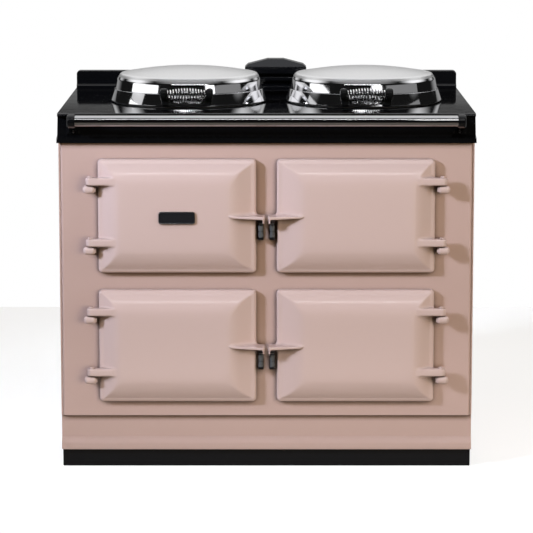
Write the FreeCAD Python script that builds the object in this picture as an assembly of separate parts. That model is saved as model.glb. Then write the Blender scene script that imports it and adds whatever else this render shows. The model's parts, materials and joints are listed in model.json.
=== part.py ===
import FreeCAD, Part
import math
import os

# A four-door heat-storage range cooker, one solid per piece, in millimetres.
# X runs to the right, Y to the back and Z up. The origin is under the middle of the whole box.
# Doors, hinges and catches are drawn for the right-hand side and mirrored for the left.

V = FreeCAD.Vector

# Clearances and cutters shared by every piece
seat_gap = 0.3
pin_fit = 0.05
overrun = 5.0

# The case, whose width and height follow the doors and the margins about them
top_depth = 698.0
top_rim_height = 69.5
top_overhang = 3.5
plate_side_step = 4.5
door_side_margin = 88.5
door_end_margin = 37.0
door_row_gap = 40.5
plate_setback = 8.0
plate_thickness = 8.0
plate_edge_roll = 6.0
sheet = 2.0
side_panel_front_step = 4.0
side_panel_back_step = 6.0
back_panel_step = 20.0

# The plinth, feet and base
plinth_height = 43.0
plinth_setback = 14.0
plinth_sheet = 3.0
plinth_side_step = 2.0
base_plate_thickness = 6.0
base_plate_front_step = 2.0
foot_radius = 25.0
foot_pad_height = 8.0
foot_stud_radius = 6.0
foot_nut_radius = 11.0
foot_nut_height = 8.0
foot_inset_x = 70.0
foot_inset_y = 70.0

# The base trim under the doors
trim_height = 84.0
trim_recess = 12.0
trim_thickness = 8.0
trim_lip_height = 19.0
trim_slope_height = 11.0
trim_lip_setback = 1.0
trim_bead_step = 2.0
trim_bead_height = 4.0

# The top plate
top_wall = 8.0
top_flange_height = 11.5
top_ledge_height = 6.0
top_recess_depth = 22.0
nosing_height = 11.0
nosing_setback = 6.0
nosing_radius = 6.0
nosing_slope = 5.0
top_side_draft = 2.0

# The upstand along the back of the top plate
upstand_height = 43.4
upstand_thickness = 28.0
upstand_corner_radius = 9.0
upstand_edge_radius = 2.5
upstand_bead_height = 10.0
upstand_bead_depth = 6.0

# The vent cowl in front of the upstand
cowl_shift = 23.5
cowl_width = 158.0
cowl_depth = 26.0
cowl_wall = 3.0
cowl_foot_height = 6.0
cowl_slot_height = 14.0
cowl_slat_height = 10.0
cowl_upper_slot_height = 11.0
cowl_fascia_height = 14.0
hood_rise = 20.0
hood_shoulder_rise = 7.0
hood_shoulder_inset = 8.0
hood_flat_width = 41.0
hood_depth = 54.0
hood_front_slope = 14.0
cowl_slot_margin = 7.0
hood_clearance = 0.5

# The doors
door_width = 373.0
door_height = 270.0
door_spread = 48.0
door_gap = 1.0
door_depth = 44.0
door_rim = 19.0
door_edge_roll = 8.0
door_corner_radius = 10.0
door_crown_reach = 73.0
door_bevel_reach = 46.0
door_pocket_depth = 10.0
door_pocket_margin = 14.5
door_core_depth = 30.0
door_core_margin_x = 80.0
door_core_margin_z = 66.0

# The door handles, cast with the doors
handle_thickness = 7.0
handle_reach = 68.0
handle_overhang = 20.0
handle_front = 57.0
handle_tip_depth = 43.6
handle_back = 12.0
handle_waist_reach = 12.0
handle_waist_front = 48.0
handle_end_radius = 7.0
handle_edge_radius = 2.5
nose_thickness = 5.0
nose_depth = 25.0
nose_drop = 17.0

# The door hinges
hinge_offset = 17.0
hinge_standoff = 30.0
hinge_upper_rise = 84.0
hinge_lower_drop = 61.0
lug_height = 18.0
lug_radius = 10.5
lug_edge_radius = 2.5
lug_reach = 62.0
knuckle_inner_reach = 10.0
knuckle_outer_reach = 19.0
knuckle_radius = 10.5
knuckle_height = 19.0
knuckle_edge_radius = 5.0
knuckle_dimple_radius = 4.5
knuckle_dimple_depth = 1.2
stub_radius = 8.0
rosette_radius = 12.0
rosette_thickness = 4.0
hinge_pin_radius = 4.0
hinge_pin_head_radius = 6.5
hinge_pin_head_height = 3.0

# The oven mouths, the ovens and their liners and seals
mouth_side_lap = 12.0
mouth_end_lap = 8.0
mouth_radius = 14.0
oven_depth = 489.0
oven_wall = 8.0
runner_width = 6.0
runner_height = 5.0
runner_levels_share = (0.3, 0.65)
seal_width = 5.0
seal_depth = 5.0
seal_margin = 1.5
plug_clearance = 12.0
plug_depth = 33.0
plug_radius = 12.0
liner_sheet = 2.0

# The oven shelves
shelf_rod_radius = 3.0
shelf_cross_radius = 2.5
shelf_wire_radius = 2.0
shelf_wire_count = 13
shelf_side_gap = 1.0
shelf_end_gap = 12.0

# The heating elements and the insulation
element_radius = 4.0
element_spacing = 200.0
element_leg = 330.0
element_channel = 10.0
element_front_step = 60.0
insulation_side_gap = 2.0
insulation_top_step = 21.5
hotplate_insulation_gap = 1.0

# The hotplates
hotplate_radius = 184.0
hotplate_rise = 1.0
hotplate_thickness = 40.0
hotplate_hole_gap = 2.0
hotplate_rim_width = 6.0
hotplate_rim_step = 0.8
hob_shift = 24.0
hob_spacing = 429.4
hob_setback = 320.0
ring_inner_radius = 60.0
ring_outer_radius = 160.0
ring_thickness = 12.0

# The lids
lid_base_radius = 191.5
lid_base_lift = 3.0
lid_seam_height = 33.0
lid_seam_radius = 181.0
lid_seam_step = 1.2
lid_bend_height = 59.0
lid_bend_radius = 172.5
lid_shoulder_height = 70.0
lid_shoulder_radius = 157.0
lid_apex_height = 85.0
lid_sheet = 2.0
lid_flange_width = 16.0
lid_liner_radius = 174.0
lid_liner_overlap = 4.0
lid_liner_thickness = 5.0
lid_fit = 0.2

# The lid handles: a sprung coil on a rod between two lugs
coil_length = 94.0
coil_wire_radius = 1.6
coil_middle_radius = 12.4
coil_end_radius = 6.9
coil_turns = 14
points_per_turn = 60
coil_bend_radius = 4.0
grip_height = 36.0
grip_standoff = 31.0
grip_rod_radius = 3.5
grip_lug_width = 16.0
grip_lug_radius = 13.0
grip_cup_radius = 10.4
grip_cup_depth = 7.0
grip_lug_edge_radius = 2.0
grip_plate_half_width = 50.0
grip_plate_bottom = 6.0
grip_plate_top = 57.0
grip_plate_radius = 10.0
grip_plate_proud = 1.8

# The lid hinges
lid_hinge_setback = 225.0
lid_hinge_rise = 15.0
lid_barrel_radius = 9.0
lid_barrel_length = 60.0
lid_arm_height = 14.0
lid_pin_radius = 5.0
lid_ear_thickness = 8.0
lid_ear_radius = 10.0
lid_ear_foot_height = 4.0
lid_ear_foot_depth = 34.0

# The handrail and its brackets
rail_radius = 12.75
rail_wall = 1.5
rail_drop = 13.0
rail_head_radius = 15.0
rail_end_inset = 48.5
rail_head_width = 19.0
rail_socket_depth = 13.0
rail_head_edge_radius = 3.0
rail_reach = 58.0
rail_root_flare = 7.0
rail_root_thickness = 7.0
rail_root_height = 37.0
rail_root_radius = 4.0
rail_neck_top = 12.0
rail_neck_bottom = 8.0
rail_screw_radius = 3.0
rail_screw_head_radius = 5.0
rail_screw_head_height = 4.0
rail_screw_depth = 11.0
rail_screw_spacing = 22.0
screw_hole_gap = 0.3

# The door catches
catch_spacing = 27.0
catch_standoff = 20.0
catch_drop = 16.0
roller_radius = 6.0
roller_length = 36.0
roller_band_depth = 0.6
roller_band_height = 3.0
catch_pin_radius = 2.5
catch_ear_thickness = 3.0
catch_ear_half_width = 6.5
catch_ear_front = 6.0
catch_base_thickness = 4.0
catch_base_margin = 3.0

# The controls behind the upper left door
control_depth = 150.0
fascia_depth = 45.0
fascia_thickness = 3.0
knob_radius = 20.0
knob_height = 20.0
knob_gap = 1.0
knob_grip_depth = 9.0
knob_grip_width = 9.0
knob_edge_radius = 2.0
knob_pointer_width = 2.0
knob_pointer_depth = 0.6
spindle_radius = 4.0
knob_spacing = 95.0
thermostat_width = 46.0
thermostat_height = 38.0
thermostat_depth = 48.0

# The blank badge plate on the upper left door
badge_width = 85.0
badge_height = 29.0
badge_thickness = 3.0
badge_corner_radius = 6.0
badge_rim_width = 2.0
badge_rim_height = 0.8

# The cable gland on the back panel
gland_radius = 14.0
gland_bore_radius = 7.0
gland_length = 16.0
gland_inner_length = 12.0
gland_thread_radius = 10.0
gland_height = 110.0
gland_inset = 120.0

# Sizes and places worked out from the sizes above
door_inner = door_spread / 2
door_outer = door_inner + door_width
door_x = door_inner + door_width / 2
plate_width = 2 * (door_outer + door_side_margin)
body_width = plate_width + 2 * plate_side_step
top_width = body_width + 2 * top_overhang
rail_half_length = top_width / 2 - rail_end_inset
mouth_width = door_width - 2 * mouth_side_lap
mouth_height = door_height - 2 * mouth_end_lap
plug_width = mouth_width - 2 * plug_clearance
plug_height = mouth_height - 2 * plug_clearance

trim_top = plinth_height + trim_height
lower_door_height = trim_top + door_end_margin + door_height / 2
upper_door_height = lower_door_height + door_height + door_row_gap
body_top = upper_door_height + door_height / 2 + door_end_margin
hob_height = body_top + top_rim_height

y_front = rail_reach - (top_depth + rail_reach) / 2
y_back = y_front + top_depth
plate_face = y_front + plate_setback
plate_back = plate_face + plate_thickness
trim_face = plate_face + trim_recess
trim_back = trim_face + trim_thickness
side_back = y_back - side_panel_back_step
panel_inner = body_width / 2 - sheet
back_panel_face = side_back - back_panel_step
recess_face = y_front + top_recess_depth

door_back = plate_face - door_gap
door_front = door_back - door_depth
rows = {"upper": upper_door_height, "lower": lower_door_height}
hinge_x = door_outer + hinge_offset
hinge_y = plate_face - hinge_standoff
lug_bottoms = (hinge_upper_rise - lug_height / 2, -hinge_lower_drop - lug_height / 2)

oven_back = plate_back + oven_depth + oven_wall
insulation_top = body_top - insulation_top_step
base_top = plinth_height + base_plate_thickness

hob_y = y_front + hob_setback
lid_places = {"boiling": hob_shift - hob_spacing / 2, "simmering": hob_shift + hob_spacing / 2}
lid_base = hob_height + lid_base_lift
lid_seam = hob_height + lid_seam_height
lid_bend = hob_height + lid_bend_height
lid_shoulder = hob_height + lid_shoulder_height
lid_apex = hob_height + lid_apex_height
hotplate_top = hob_height + hotplate_rise
hotplate_bottom = hotplate_top - hotplate_thickness
grip_y = hob_y - lid_seam_radius - grip_standoff
grip_z = hob_height + grip_height
lid_hinge_y = hob_y + lid_hinge_setback
lid_hinge_z = hob_height + lid_hinge_rise

rail_y = y_front - rail_reach + rail_head_radius
rail_z = hob_height - rail_drop

upstand_face = y_back - upstand_thickness
cowl_back = upstand_face - upstand_bead_depth
cowl_face = cowl_back - cowl_depth
slot_floor = hob_height + cowl_foot_height
slat_floor = slot_floor + cowl_slot_height
upper_slot_floor = slat_floor + cowl_slat_height
fascia_floor = upper_slot_floor + cowl_upper_slot_height
hood_floor = fascia_floor + cowl_fascia_height
hood_top = hood_floor + hood_rise

roller_x = catch_spacing / 2
roller_y = plate_face - catch_standoff
fascia_face = plate_face + fascia_depth


class Outline:
    """A plane outline drawn with straight runs and three-point arcs."""

    def __init__(self, start):
        self.start = start
        self.end = start
        self.edges = []

    def line(self, point):
        self.edges.append(Part.LineSegment(self.end, point).toShape())
        self.end = point
        return self

    def arc(self, middle, point):
        self.edges.append(Part.Arc(self.end, middle, point).toShape())
        self.end = point
        return self

    def face(self):
        if (self.end - self.start).Length > 0:
            self.line(self.start)
        return Part.Face(Part.Wire(self.edges))


def polygon(points):
    """A flat face with straight sides."""
    return Part.Face(Part.makePolygon(list(points) + [points[0]]))


def box(x, y, z):
    """A box between two limits along each axis."""
    return Part.makeBox(x[1] - x[0], y[1] - y[0], z[1] - z[0], V(x[0], y[0], z[0]))


def around(middle, half):
    """The two limits that lie evenly about a middle."""
    return (middle - half, middle + half)


def rod(radius, start, end):
    """A round bar from one point to another."""
    return Part.makeCylinder(radius, (end - start).Length, start, end - start)


def edges_along(shape, direction):
    """The straight edges of a shape that run along a direction."""
    found = []
    for edge in shape.Edges:
        run = edge.Vertexes[-1].Point - edge.Vertexes[0].Point
        if edge.Curve.TypeId == "Part::GeomLine" and run.cross(direction).Length < pin_fit:
            found.append(edge)
    return found


def rounded_box(x, y, z, radius, direction):
    """A box whose edges along one direction are rounded."""
    block = box(x, y, z)
    return block.makeFillet(radius, edges_along(block, direction))


def on_circle(centre, radius, angle):
    """The two coordinates of a point on a circle in a plane."""
    return (centre[0] + radius * math.cos(angle), centre[1] + radius * math.sin(angle))


def mirrored(shape):
    """The same shape on the other side of the middle plane."""
    return shape.mirror(V(0, 0, 0), V(1, 0, 0))


def on_side(shape, side):
    """A right-hand shape put on its side, 1 for right and -1 for left."""
    return shape if side > 0 else mirrored(shape)


def moved(shape, x=0, y=0, z=0):
    """A copy of a shape, shifted."""
    copy = shape.copy()
    copy.translate(V(x, y, z))
    return copy


def tidy(shape):
    """One shape without the seams that joining leaves."""
    return shape.removeSplitter()


# The case


def make_plinth():
    outer = body_width / 2 - plinth_side_step
    front = plate_face + plinth_setback
    ring = box(around(0, outer), (front, side_back), (0, plinth_height))
    inside = box(
        around(0, outer - plinth_sheet),
        (front + plinth_sheet, side_back - plinth_sheet),
        (-overrun, plinth_height + overrun),
    )
    return [ring.cut(inside)]


def foot_places():
    """The middles of the four feet."""
    half = panel_inner - foot_inset_x
    front = trim_back + foot_inset_y
    back = back_panel_face - foot_inset_y
    return [(side * half, y) for side in (-1, 1) for y in (front, back)]


def make_levelling_feet():
    feet = []
    for x, y in foot_places():
        pad = rod(foot_radius, V(x, y, 0), V(x, y, foot_pad_height))
        stud = rod(foot_stud_radius, V(x, y, 0), V(x, y, base_top))
        nut_floor = plinth_height - foot_nut_height
        nut = rod(foot_nut_radius, V(x, y, nut_floor), V(x, y, plinth_height))
        feet.append(tidy(pad.fuse([stud, nut])))
    return feet


def make_base_frame():
    plate = box(
        around(0, panel_inner),
        (trim_back + base_plate_front_step, back_panel_face),
        (plinth_height, base_top),
    )
    studs = [
        rod(foot_stud_radius + pin_fit, V(x, y, 0), V(x, y, base_top + overrun))
        for x, y in foot_places()
    ]
    return [plate.cut(studs)]


def make_side_panel(side):
    front = plate_face + side_panel_front_step
    x = panel_inner
    outline = polygon([
        V(x, trim_back, plinth_height),
        V(x, side_back, plinth_height),
        V(x, side_back, body_top),
        V(x, front, body_top),
        V(x, front, trim_top),
        V(x, trim_back, trim_top),
    ])
    return [on_side(outline.extrude(V(sheet, 0, 0)), side)]


def gland_place():
    """The middle of the cable gland on the back panel's inner face."""
    return V(panel_inner - gland_inset, back_panel_face, gland_height)


def make_back_panel():
    panel = box(
        around(0, panel_inner),
        (back_panel_face, back_panel_face + sheet),
        (plinth_height, body_top),
    )
    place = gland_place()
    hole = rod(gland_thread_radius + pin_fit, place - V(0, overrun, 0), place + V(0, overrun, 0))
    return [panel.cut(hole)]


def make_cable_gland():
    place = gland_place()
    outer = place + V(0, sheet, 0)
    end = outer + V(0, gland_length, 0)
    inner = place - V(0, gland_inner_length, 0)
    corners = [
        V(gland_radius * math.cos(step * math.pi / 3), 0, gland_radius * math.sin(step * math.pi / 3))
        for step in range(6)
    ]
    hexagon = polygon([outer + corner for corner in corners]).extrude(V(0, gland_length, 0))
    thread = rod(gland_thread_radius, inner, outer)
    bore = rod(gland_bore_radius, inner - V(0, overrun, 0), end + V(0, overrun, 0))
    return [hexagon.fuse(thread).cut(bore)]


def make_front_plate():
    plate = box(around(0, plate_width / 2), (plate_face, plate_back), (trim_top, body_top))
    front_edges = [
        edge for edge in edges_along(plate, V(0, 0, 1))
        if abs(edge.Vertexes[0].Point.y - plate_face) < pin_fit
    ]
    plate = plate.makeFillet(plate_edge_roll, front_edges)
    for middle in rows.values():
        for side in (-1, 1):
            mouth = rounded_box(
                around(side * door_x, mouth_width / 2),
                (plate_face - overrun, plate_back + overrun),
                around(middle, mouth_height / 2),
                mouth_radius,
                V(0, 1, 0),
            )
            plate = plate.cut(mouth)
    return [plate]


def make_base_trim():
    lip_face = plate_face + trim_lip_setback
    lip_top = plinth_height + trim_lip_height
    slope_top = lip_top + trim_slope_height
    x = -body_width / 2
    outline = polygon([
        V(x, trim_back, plinth_height),
        V(x, lip_face, plinth_height),
        V(x, lip_face, lip_top - trim_bead_height),
        V(x, lip_face + trim_bead_step, lip_top),
        V(x, trim_face, slope_top),
        V(x, trim_face, trim_top),
        V(x, trim_back, trim_top),
    ])
    return [outline.extrude(V(body_width, 0, 0))]


def make_top_plate():
    x = -top_width / 2
    ledge = body_top + top_flange_height
    recess_floor = ledge + top_ledge_height
    recess_top = hob_height - nosing_height
    nose = y_front + nosing_setback
    roll = (nose + nosing_radius, hob_height - nosing_radius)
    middle = on_circle(roll, nosing_radius, 3 * math.pi / 4)
    outer = Outline(V(x, y_front, body_top))
    outer.line(V(x, y_front, ledge))
    outer.line(V(x, recess_face, recess_floor))
    outer.line(V(x, recess_face, recess_top))
    outer.line(V(x, nose, recess_top + nosing_slope))
    outer.arc(V(x, middle[0], middle[1]), V(x, roll[0], hob_height))
    outer.line(V(x, y_back, hob_height))
    outer.line(V(x, y_back, body_top))
    slab = outer.face().extrude(V(top_width, 0, 0))

    half = top_width / 2
    drafted = polygon([
        V(-half, y_front - overrun, body_top),
        V(half, y_front - overrun, body_top),
        V(half - top_side_draft, y_front - overrun, hob_height),
        V(top_side_draft - half, y_front - overrun, hob_height),
    ]).extrude(V(0, top_depth + 2 * overrun, 0))
    slab = slab.common(drafted)

    inner_face = recess_face + top_wall
    inner_x = x + top_wall
    hollow = polygon([
        V(inner_x, y_front + top_wall, body_top - overrun),
        V(inner_x, y_front + top_wall, ledge - top_wall / 2),
        V(inner_x, inner_face, recess_floor - top_wall / 2),
        V(inner_x, inner_face, hob_height - top_wall),
        V(inner_x, y_back - top_wall, hob_height - top_wall),
        V(inner_x, y_back - top_wall, body_top - overrun),
    ]).extrude(V(top_width - 2 * top_wall, 0, 0))
    slab = slab.cut(hollow)

    holes = [
        rod(
            hotplate_radius + hotplate_hole_gap,
            V(x, hob_y, body_top),
            V(x, hob_y, hob_height + overrun),
        )
        for x in lid_places.values()
    ]
    holes.append(box(
        around(cowl_shift, cowl_width / 2 - 2 * cowl_wall),
        (cowl_face + cowl_wall, cowl_back - cowl_wall),
        (hob_height - top_wall - overrun, hob_height + overrun),
    ))
    holes += [
        rod(rail_screw_radius + screw_hole_gap, start - V(0, overrun, 0), end)
        for start, end in screw_runs()
    ]
    return [slab.cut(holes)]


def make_rear_upstand():
    half = top_width / 2 - top_side_draft
    wall = box(
        around(0, half), (upstand_face, y_back), (hob_height, hob_height + upstand_height)
    )
    top = hob_height + upstand_height
    corners = [edge for edge in edges_along(wall, V(0, 1, 0)) if edge.Vertexes[0].Point.z == top]
    wall = wall.makeFillet(upstand_corner_radius, corners)
    wall = wall.makeFillet(
        upstand_edge_radius,
        [edge for edge in edges_along(wall, V(1, 0, 0)) if edge.Vertexes[0].Point.z == top],
    )
    x = -half
    bead = polygon([
        V(x, upstand_face, hob_height),
        V(x, upstand_face - upstand_bead_depth, hob_height),
        V(x, upstand_face - upstand_bead_depth, hob_height + upstand_bead_height / 2),
        V(x, upstand_face, hob_height + upstand_bead_height),
    ]).extrude(V(2 * half, 0, 0))
    return [tidy(wall.fuse(bead))]


def make_vent_cowl():
    half = cowl_width / 2
    shell = box(around(0, half), (cowl_face, cowl_back), (hob_height, fascia_floor))
    cavity = box(
        around(0, half - cowl_wall),
        (cowl_face + cowl_wall, cowl_back - cowl_wall),
        (hob_height - overrun, fascia_floor - cowl_wall),
    )
    slots = [
        box(around(0, half - cowl_slot_margin), (cowl_face - overrun, cowl_face + overrun), z)
        for z in ((slot_floor, slat_floor), (upper_slot_floor, fascia_floor - cowl_wall))
    ]
    shell = shell.cut([cavity] + slots)

    shoulder = half - hood_shoulder_inset
    flat = hood_flat_width / 2
    front = cowl_face
    hood = polygon([
        V(-half, front, fascia_floor),
        V(half, front, fascia_floor),
        V(half, front, hood_floor),
        V(shoulder, front, hood_floor + hood_shoulder_rise),
        V(flat, front, hood_top),
        V(-flat, front, hood_top),
        V(-shoulder, front, hood_floor + hood_shoulder_rise),
        V(-half, front, hood_floor),
    ]).extrude(V(0, hood_depth, 0))
    slope = polygon([
        V(-half - overrun, front, hood_floor),
        V(-half - overrun, front, hood_top + overrun),
        V(-half - overrun, front + hood_front_slope, hood_top + overrun),
        V(-half - overrun, front + hood_front_slope, hood_top),
    ]).extrude(V(cowl_width + 2 * overrun, 0, 0))
    ledge = box(
        around(0, half + overrun),
        (cowl_back, front + hood_depth + overrun),
        (fascia_floor - overrun, hob_height + upstand_height + hood_clearance),
    )
    hood = hood.cut([slope, ledge])
    return [moved(tidy(shell.fuse(hood)), x=cowl_shift)]


# The hotplates, the heating and the insulation


def make_hotplate(x):
    disc = rod(hotplate_radius, V(x, hob_y, hotplate_bottom), V(x, hob_y, hotplate_top))
    face_radius = hotplate_radius - hotplate_rim_width
    face_floor = hotplate_top - hotplate_rim_step
    groove = rod(face_radius, V(x, hob_y, face_floor), V(x, hob_y, hotplate_top + overrun))
    return [disc.cut(groove)]


def make_hotplate_elements():
    rings = []
    for x in lid_places.values():
        floor = V(x, hob_y, hotplate_bottom - ring_thickness)
        top = V(x, hob_y, hotplate_bottom)
        rings.append(rod(ring_outer_radius, floor, top).cut(rod(ring_inner_radius, floor, top)))
    return rings


def make_hotplate_insulation():
    block = box(
        around(0, panel_inner - insulation_side_gap - top_wall),
        (recess_face + top_wall + hotplate_insulation_gap, back_panel_face),
        (insulation_top, hob_height - top_wall - hotplate_insulation_gap),
    )
    cuts = []
    for x in lid_places.values():
        floor = V(x, hob_y, hotplate_bottom)
        cuts.append(rod(hotplate_radius, floor, V(x, hob_y, hotplate_top)))
        cuts.append(rod(ring_outer_radius, floor - V(0, 0, ring_thickness), floor))
    head_face = recess_face + top_wall
    for start, end in screw_runs():
        head = rod(
            rail_screw_head_radius + hotplate_insulation_gap,
            V(start.x, head_face, start.z),
            V(start.x, head_face + rail_screw_head_height + hotplate_insulation_gap, start.z),
        )
        cuts.append(head)
    return [block.cut(cuts)]


oven_places = {
    "roasting": (door_x, upper_door_height),
    "baking": (door_x, lower_door_height),
    "simmering": (-door_x, lower_door_height),
}


def runner_heights(middle):
    """The heights of the shelf runners' tops in an oven."""
    floor = middle - mouth_height / 2
    return [floor + share * mouth_height for share in runner_levels_share]


def make_oven(name):
    x, z = oven_places[name]
    outer = box(
        around(x, mouth_width / 2 + oven_wall),
        (plate_back, oven_back),
        around(z, mouth_height / 2 + oven_wall),
    )
    cavity = rounded_box(
        around(x, mouth_width / 2),
        (plate_back - overrun, oven_back - oven_wall),
        around(z, mouth_height / 2),
        mouth_radius,
        V(0, 1, 0),
    )
    shell = outer.cut(cavity)
    wall = mouth_width / 2
    runners = []
    for height in runner_heights(z):
        for side in (-1, 1):
            limits = sorted((x + side * wall, x + side * (wall - runner_width)))
            runners.append(box(
                limits,
                (plate_back + shelf_end_gap, oven_back - oven_wall),
                (height - runner_height, height),
            ))
    return [tidy(shell.fuse(runners))]


def make_shelf(x, height):
    """A wire shelf that stands on the runners at a height."""
    half = mouth_width / 2 - shelf_side_gap
    front = plate_back + 2 * shelf_end_gap
    back = oven_back - oven_wall - shelf_end_gap
    level = height + shelf_rod_radius
    side_x = half - shelf_rod_radius
    rods = [
        rod(shelf_rod_radius, V(x + side * side_x, front, level), V(x + side * side_x, back, level))
        for side in (-1, 1)
    ]
    for y in (front + shelf_end_gap, (front + back) / 2, back - shelf_end_gap):
        rods.append(rod(shelf_cross_radius, V(x - side_x, y, level), V(x + side_x, y, level)))
    pitch = 2 * side_x / (shelf_wire_count + 1)
    for number in range(1, shelf_wire_count + 1):
        wire_x = x - side_x + number * pitch
        rods.append(rod(shelf_wire_radius, V(wire_x, front, level), V(wire_x, back, level)))
    return rods[0].fuse(rods[1:])


def make_oven_shelves():
    shelves = []
    for name, levels in (("roasting", (0, 1)), ("baking", (0,)), ("simmering", (0,))):
        x, z = oven_places[name]
        heights = runner_heights(z)
        shelves += [make_shelf(x, heights[level]) for level in levels]
    return shelves


def element_levels(z):
    """The heights of the heating elements over and under an oven."""
    lift = mouth_height / 2 + oven_wall + seat_gap + element_radius
    return (z - lift, z + lift)


def make_hairpin(x, z):
    """A U-shaped tubular element with its legs to the back."""
    bend = element_spacing / 2
    y = plate_back + element_front_step + bend
    path = Outline(V(x - bend, y + element_leg, z))
    path.line(V(x - bend, y, z))
    path.arc(V(x, y - bend, z), V(x + bend, y, z))
    path.line(V(x + bend, y + element_leg, z))
    spine = Part.Wire(path.edges)
    section = Part.Wire(Part.makeCircle(element_radius, path.start, V(0, 1, 0)))
    return spine.makePipeShell([section], True, False)


def make_oven_elements():
    return [make_hairpin(x, level) for x, z in oven_places.values() for level in element_levels(z)]


def control_limits():
    """The outer limits of the control box in X and Z."""
    return (
        around(-door_x, mouth_width / 2 + sheet),
        around(upper_door_height, mouth_height / 2 + sheet),
    )


def make_oven_insulation():
    block = box(
        around(0, panel_inner - insulation_side_gap),
        (plate_back, back_panel_face),
        (base_top, insulation_top),
    )
    cuts = [box(
        around(0, panel_inner),
        (plate_back - overrun, trim_back + base_plate_front_step),
        (plinth_height, trim_top),
    )]
    for x, z in oven_places.values():
        cuts.append(box(
            around(x, mouth_width / 2 + oven_wall),
            (plate_back, oven_back),
            around(z, mouth_height / 2 + oven_wall),
        ))
        wall = mouth_height / 2 + oven_wall
        bend = element_spacing / 2
        y = plate_back + element_front_step
        cuts.append(box(
            around(x, bend + element_channel / 2),
            (y - element_channel / 2, y + bend + element_leg),
            around(z, wall + element_channel),
        ))
    limits = control_limits()
    cuts.append(box(limits[0], (plate_back, plate_back + control_depth), limits[1]))
    place = gland_place()
    cuts.append(box(
        around(place.x, 2 * gland_radius),
        (back_panel_face - gland_inner_length - overrun, back_panel_face + overrun),
        around(place.z, 2 * gland_radius),
    ))
    return [block.cut(cuts)]


# The controls


def make_control_box():
    limits = control_limits()
    outer = box(limits[0], (plate_back, plate_back + control_depth), limits[1])
    inside = box(
        around(-door_x, mouth_width / 2),
        (plate_back - overrun, plate_back + control_depth - sheet),
        around(upper_door_height, mouth_height / 2),
    )
    return [outer.cut(inside)]


def knob_places():
    """The middles of the three knobs in X."""
    return [-door_x + step * knob_spacing for step in (-1, 0, 1)]


def make_control_fascia():
    panel = box(
        around(-door_x, mouth_width / 2),
        (fascia_face, fascia_face + fascia_thickness),
        around(upper_door_height, mouth_height / 2),
    )
    z = upper_door_height
    holes = [
        rod(
            spindle_radius + pin_fit,
            V(x, fascia_face - overrun, z),
            V(x, fascia_face + fascia_thickness + overrun, z),
        )
        for x in knob_places()
    ]
    return [panel.cut(holes)]


def make_thermostats():
    front = fascia_face + fascia_thickness
    z = upper_door_height
    boxes = []
    for x in knob_places():
        case = box(
            around(x, thermostat_width / 2),
            (front, front + thermostat_depth),
            around(z, thermostat_height / 2),
        )
        hole = rod(
            spindle_radius + pin_fit,
            V(x, front - overrun, z),
            V(x, front + thermostat_depth / 2 + seat_gap, z),
        )
        boxes.append(case.cut(hole))
    return boxes


def make_knob(x):
    z = upper_door_height
    back = fascia_face - knob_gap
    front = back - knob_height
    skirt = rod(knob_radius, V(x, back, z), V(x, front + knob_grip_depth, z))
    rim = [edge for edge in skirt.Edges if edge.Vertexes[0].Point.y < back - pin_fit]
    skirt = skirt.makeFillet(knob_edge_radius, [edge for edge in rim if edge.Closed and is_circle(edge)])
    grip = rounded_box(
        around(x, knob_grip_width / 2),
        (front, front + knob_grip_depth + knob_edge_radius),
        around(z, knob_radius - knob_edge_radius),
        knob_edge_radius,
        V(0, 1, 0),
    )
    pointer = box(
        around(x, knob_pointer_width / 2),
        (front - overrun, front + knob_pointer_depth),
        (z, z + knob_radius + overrun),
    )
    behind = fascia_face + fascia_thickness + thermostat_depth / 2
    spindle = rod(spindle_radius, V(x, back - overrun, z), V(x, behind, z))
    return [tidy(skirt.fuse([grip, spindle]).cut(pointer))]


def is_circle(edge):
    """True for a full or part circle."""
    return edge.Curve.TypeId == "Part::GeomCircle"


# The doors, drawn for the right-hand side about a middle height of zero


def crown_arc(reach, drop):
    """The height lost halfway along an arc that leaves a flat and falls by a drop over a reach."""
    radius = (reach ** 2 + drop ** 2) / (2 * drop)
    return radius - math.sqrt(radius ** 2 - (reach / 2) ** 2)


def make_pillow():
    """The door's front: a crowned slab with one straight bevel on the hinge side."""
    roll = door_edge_roll
    kink = roll * (1 - math.cos(math.pi / 4))
    reach = door_crown_reach - roll
    rise = door_depth - door_rim
    halfway = door_depth - crown_arc(reach, rise)

    def plan(u, d):
        return V(door_outer - u, door_back - d, -door_height / 2)

    side = Outline(plan(0, 0))
    side.line(plan(0, door_rim - roll))
    side.arc(plan(kink, door_rim - kink), plan(roll, door_rim))
    side.line(plan(door_bevel_reach, door_depth))
    side.line(plan(door_width - door_crown_reach, door_depth))
    side.arc(
        plan(door_width - door_crown_reach + reach / 2, halfway),
        plan(door_width - roll, door_rim),
    )
    side.arc(plan(door_width - kink, door_rim - kink), plan(door_width, door_rim - roll))
    side.line(plan(door_width, 0))
    across = side.face().extrude(V(0, 0, door_height))

    def upright(w, d):
        return V(door_inner, door_back - d, w - door_height / 2)

    edge = Outline(upright(0, 0))
    edge.line(upright(0, door_rim - roll))
    edge.arc(upright(kink, door_rim - kink), upright(roll, door_rim))
    edge.arc(upright(roll + reach / 2, halfway), upright(door_crown_reach, door_depth))
    edge.line(upright(door_height - door_crown_reach, door_depth))
    edge.arc(
        upright(door_height - roll - reach / 2, halfway),
        upright(door_height - roll, door_rim),
    )
    edge.arc(upright(door_height - kink, door_rim - kink), upright(door_height, door_rim - roll))
    edge.line(upright(door_height, 0))
    down = edge.face().extrude(V(door_width, 0, 0))

    block = rounded_box(
        (door_inner, door_outer),
        (door_front - overrun, door_back),
        around(0, door_height / 2),
        door_corner_radius,
        V(0, 1, 0),
    )
    return across.common(down).common(block)


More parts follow.
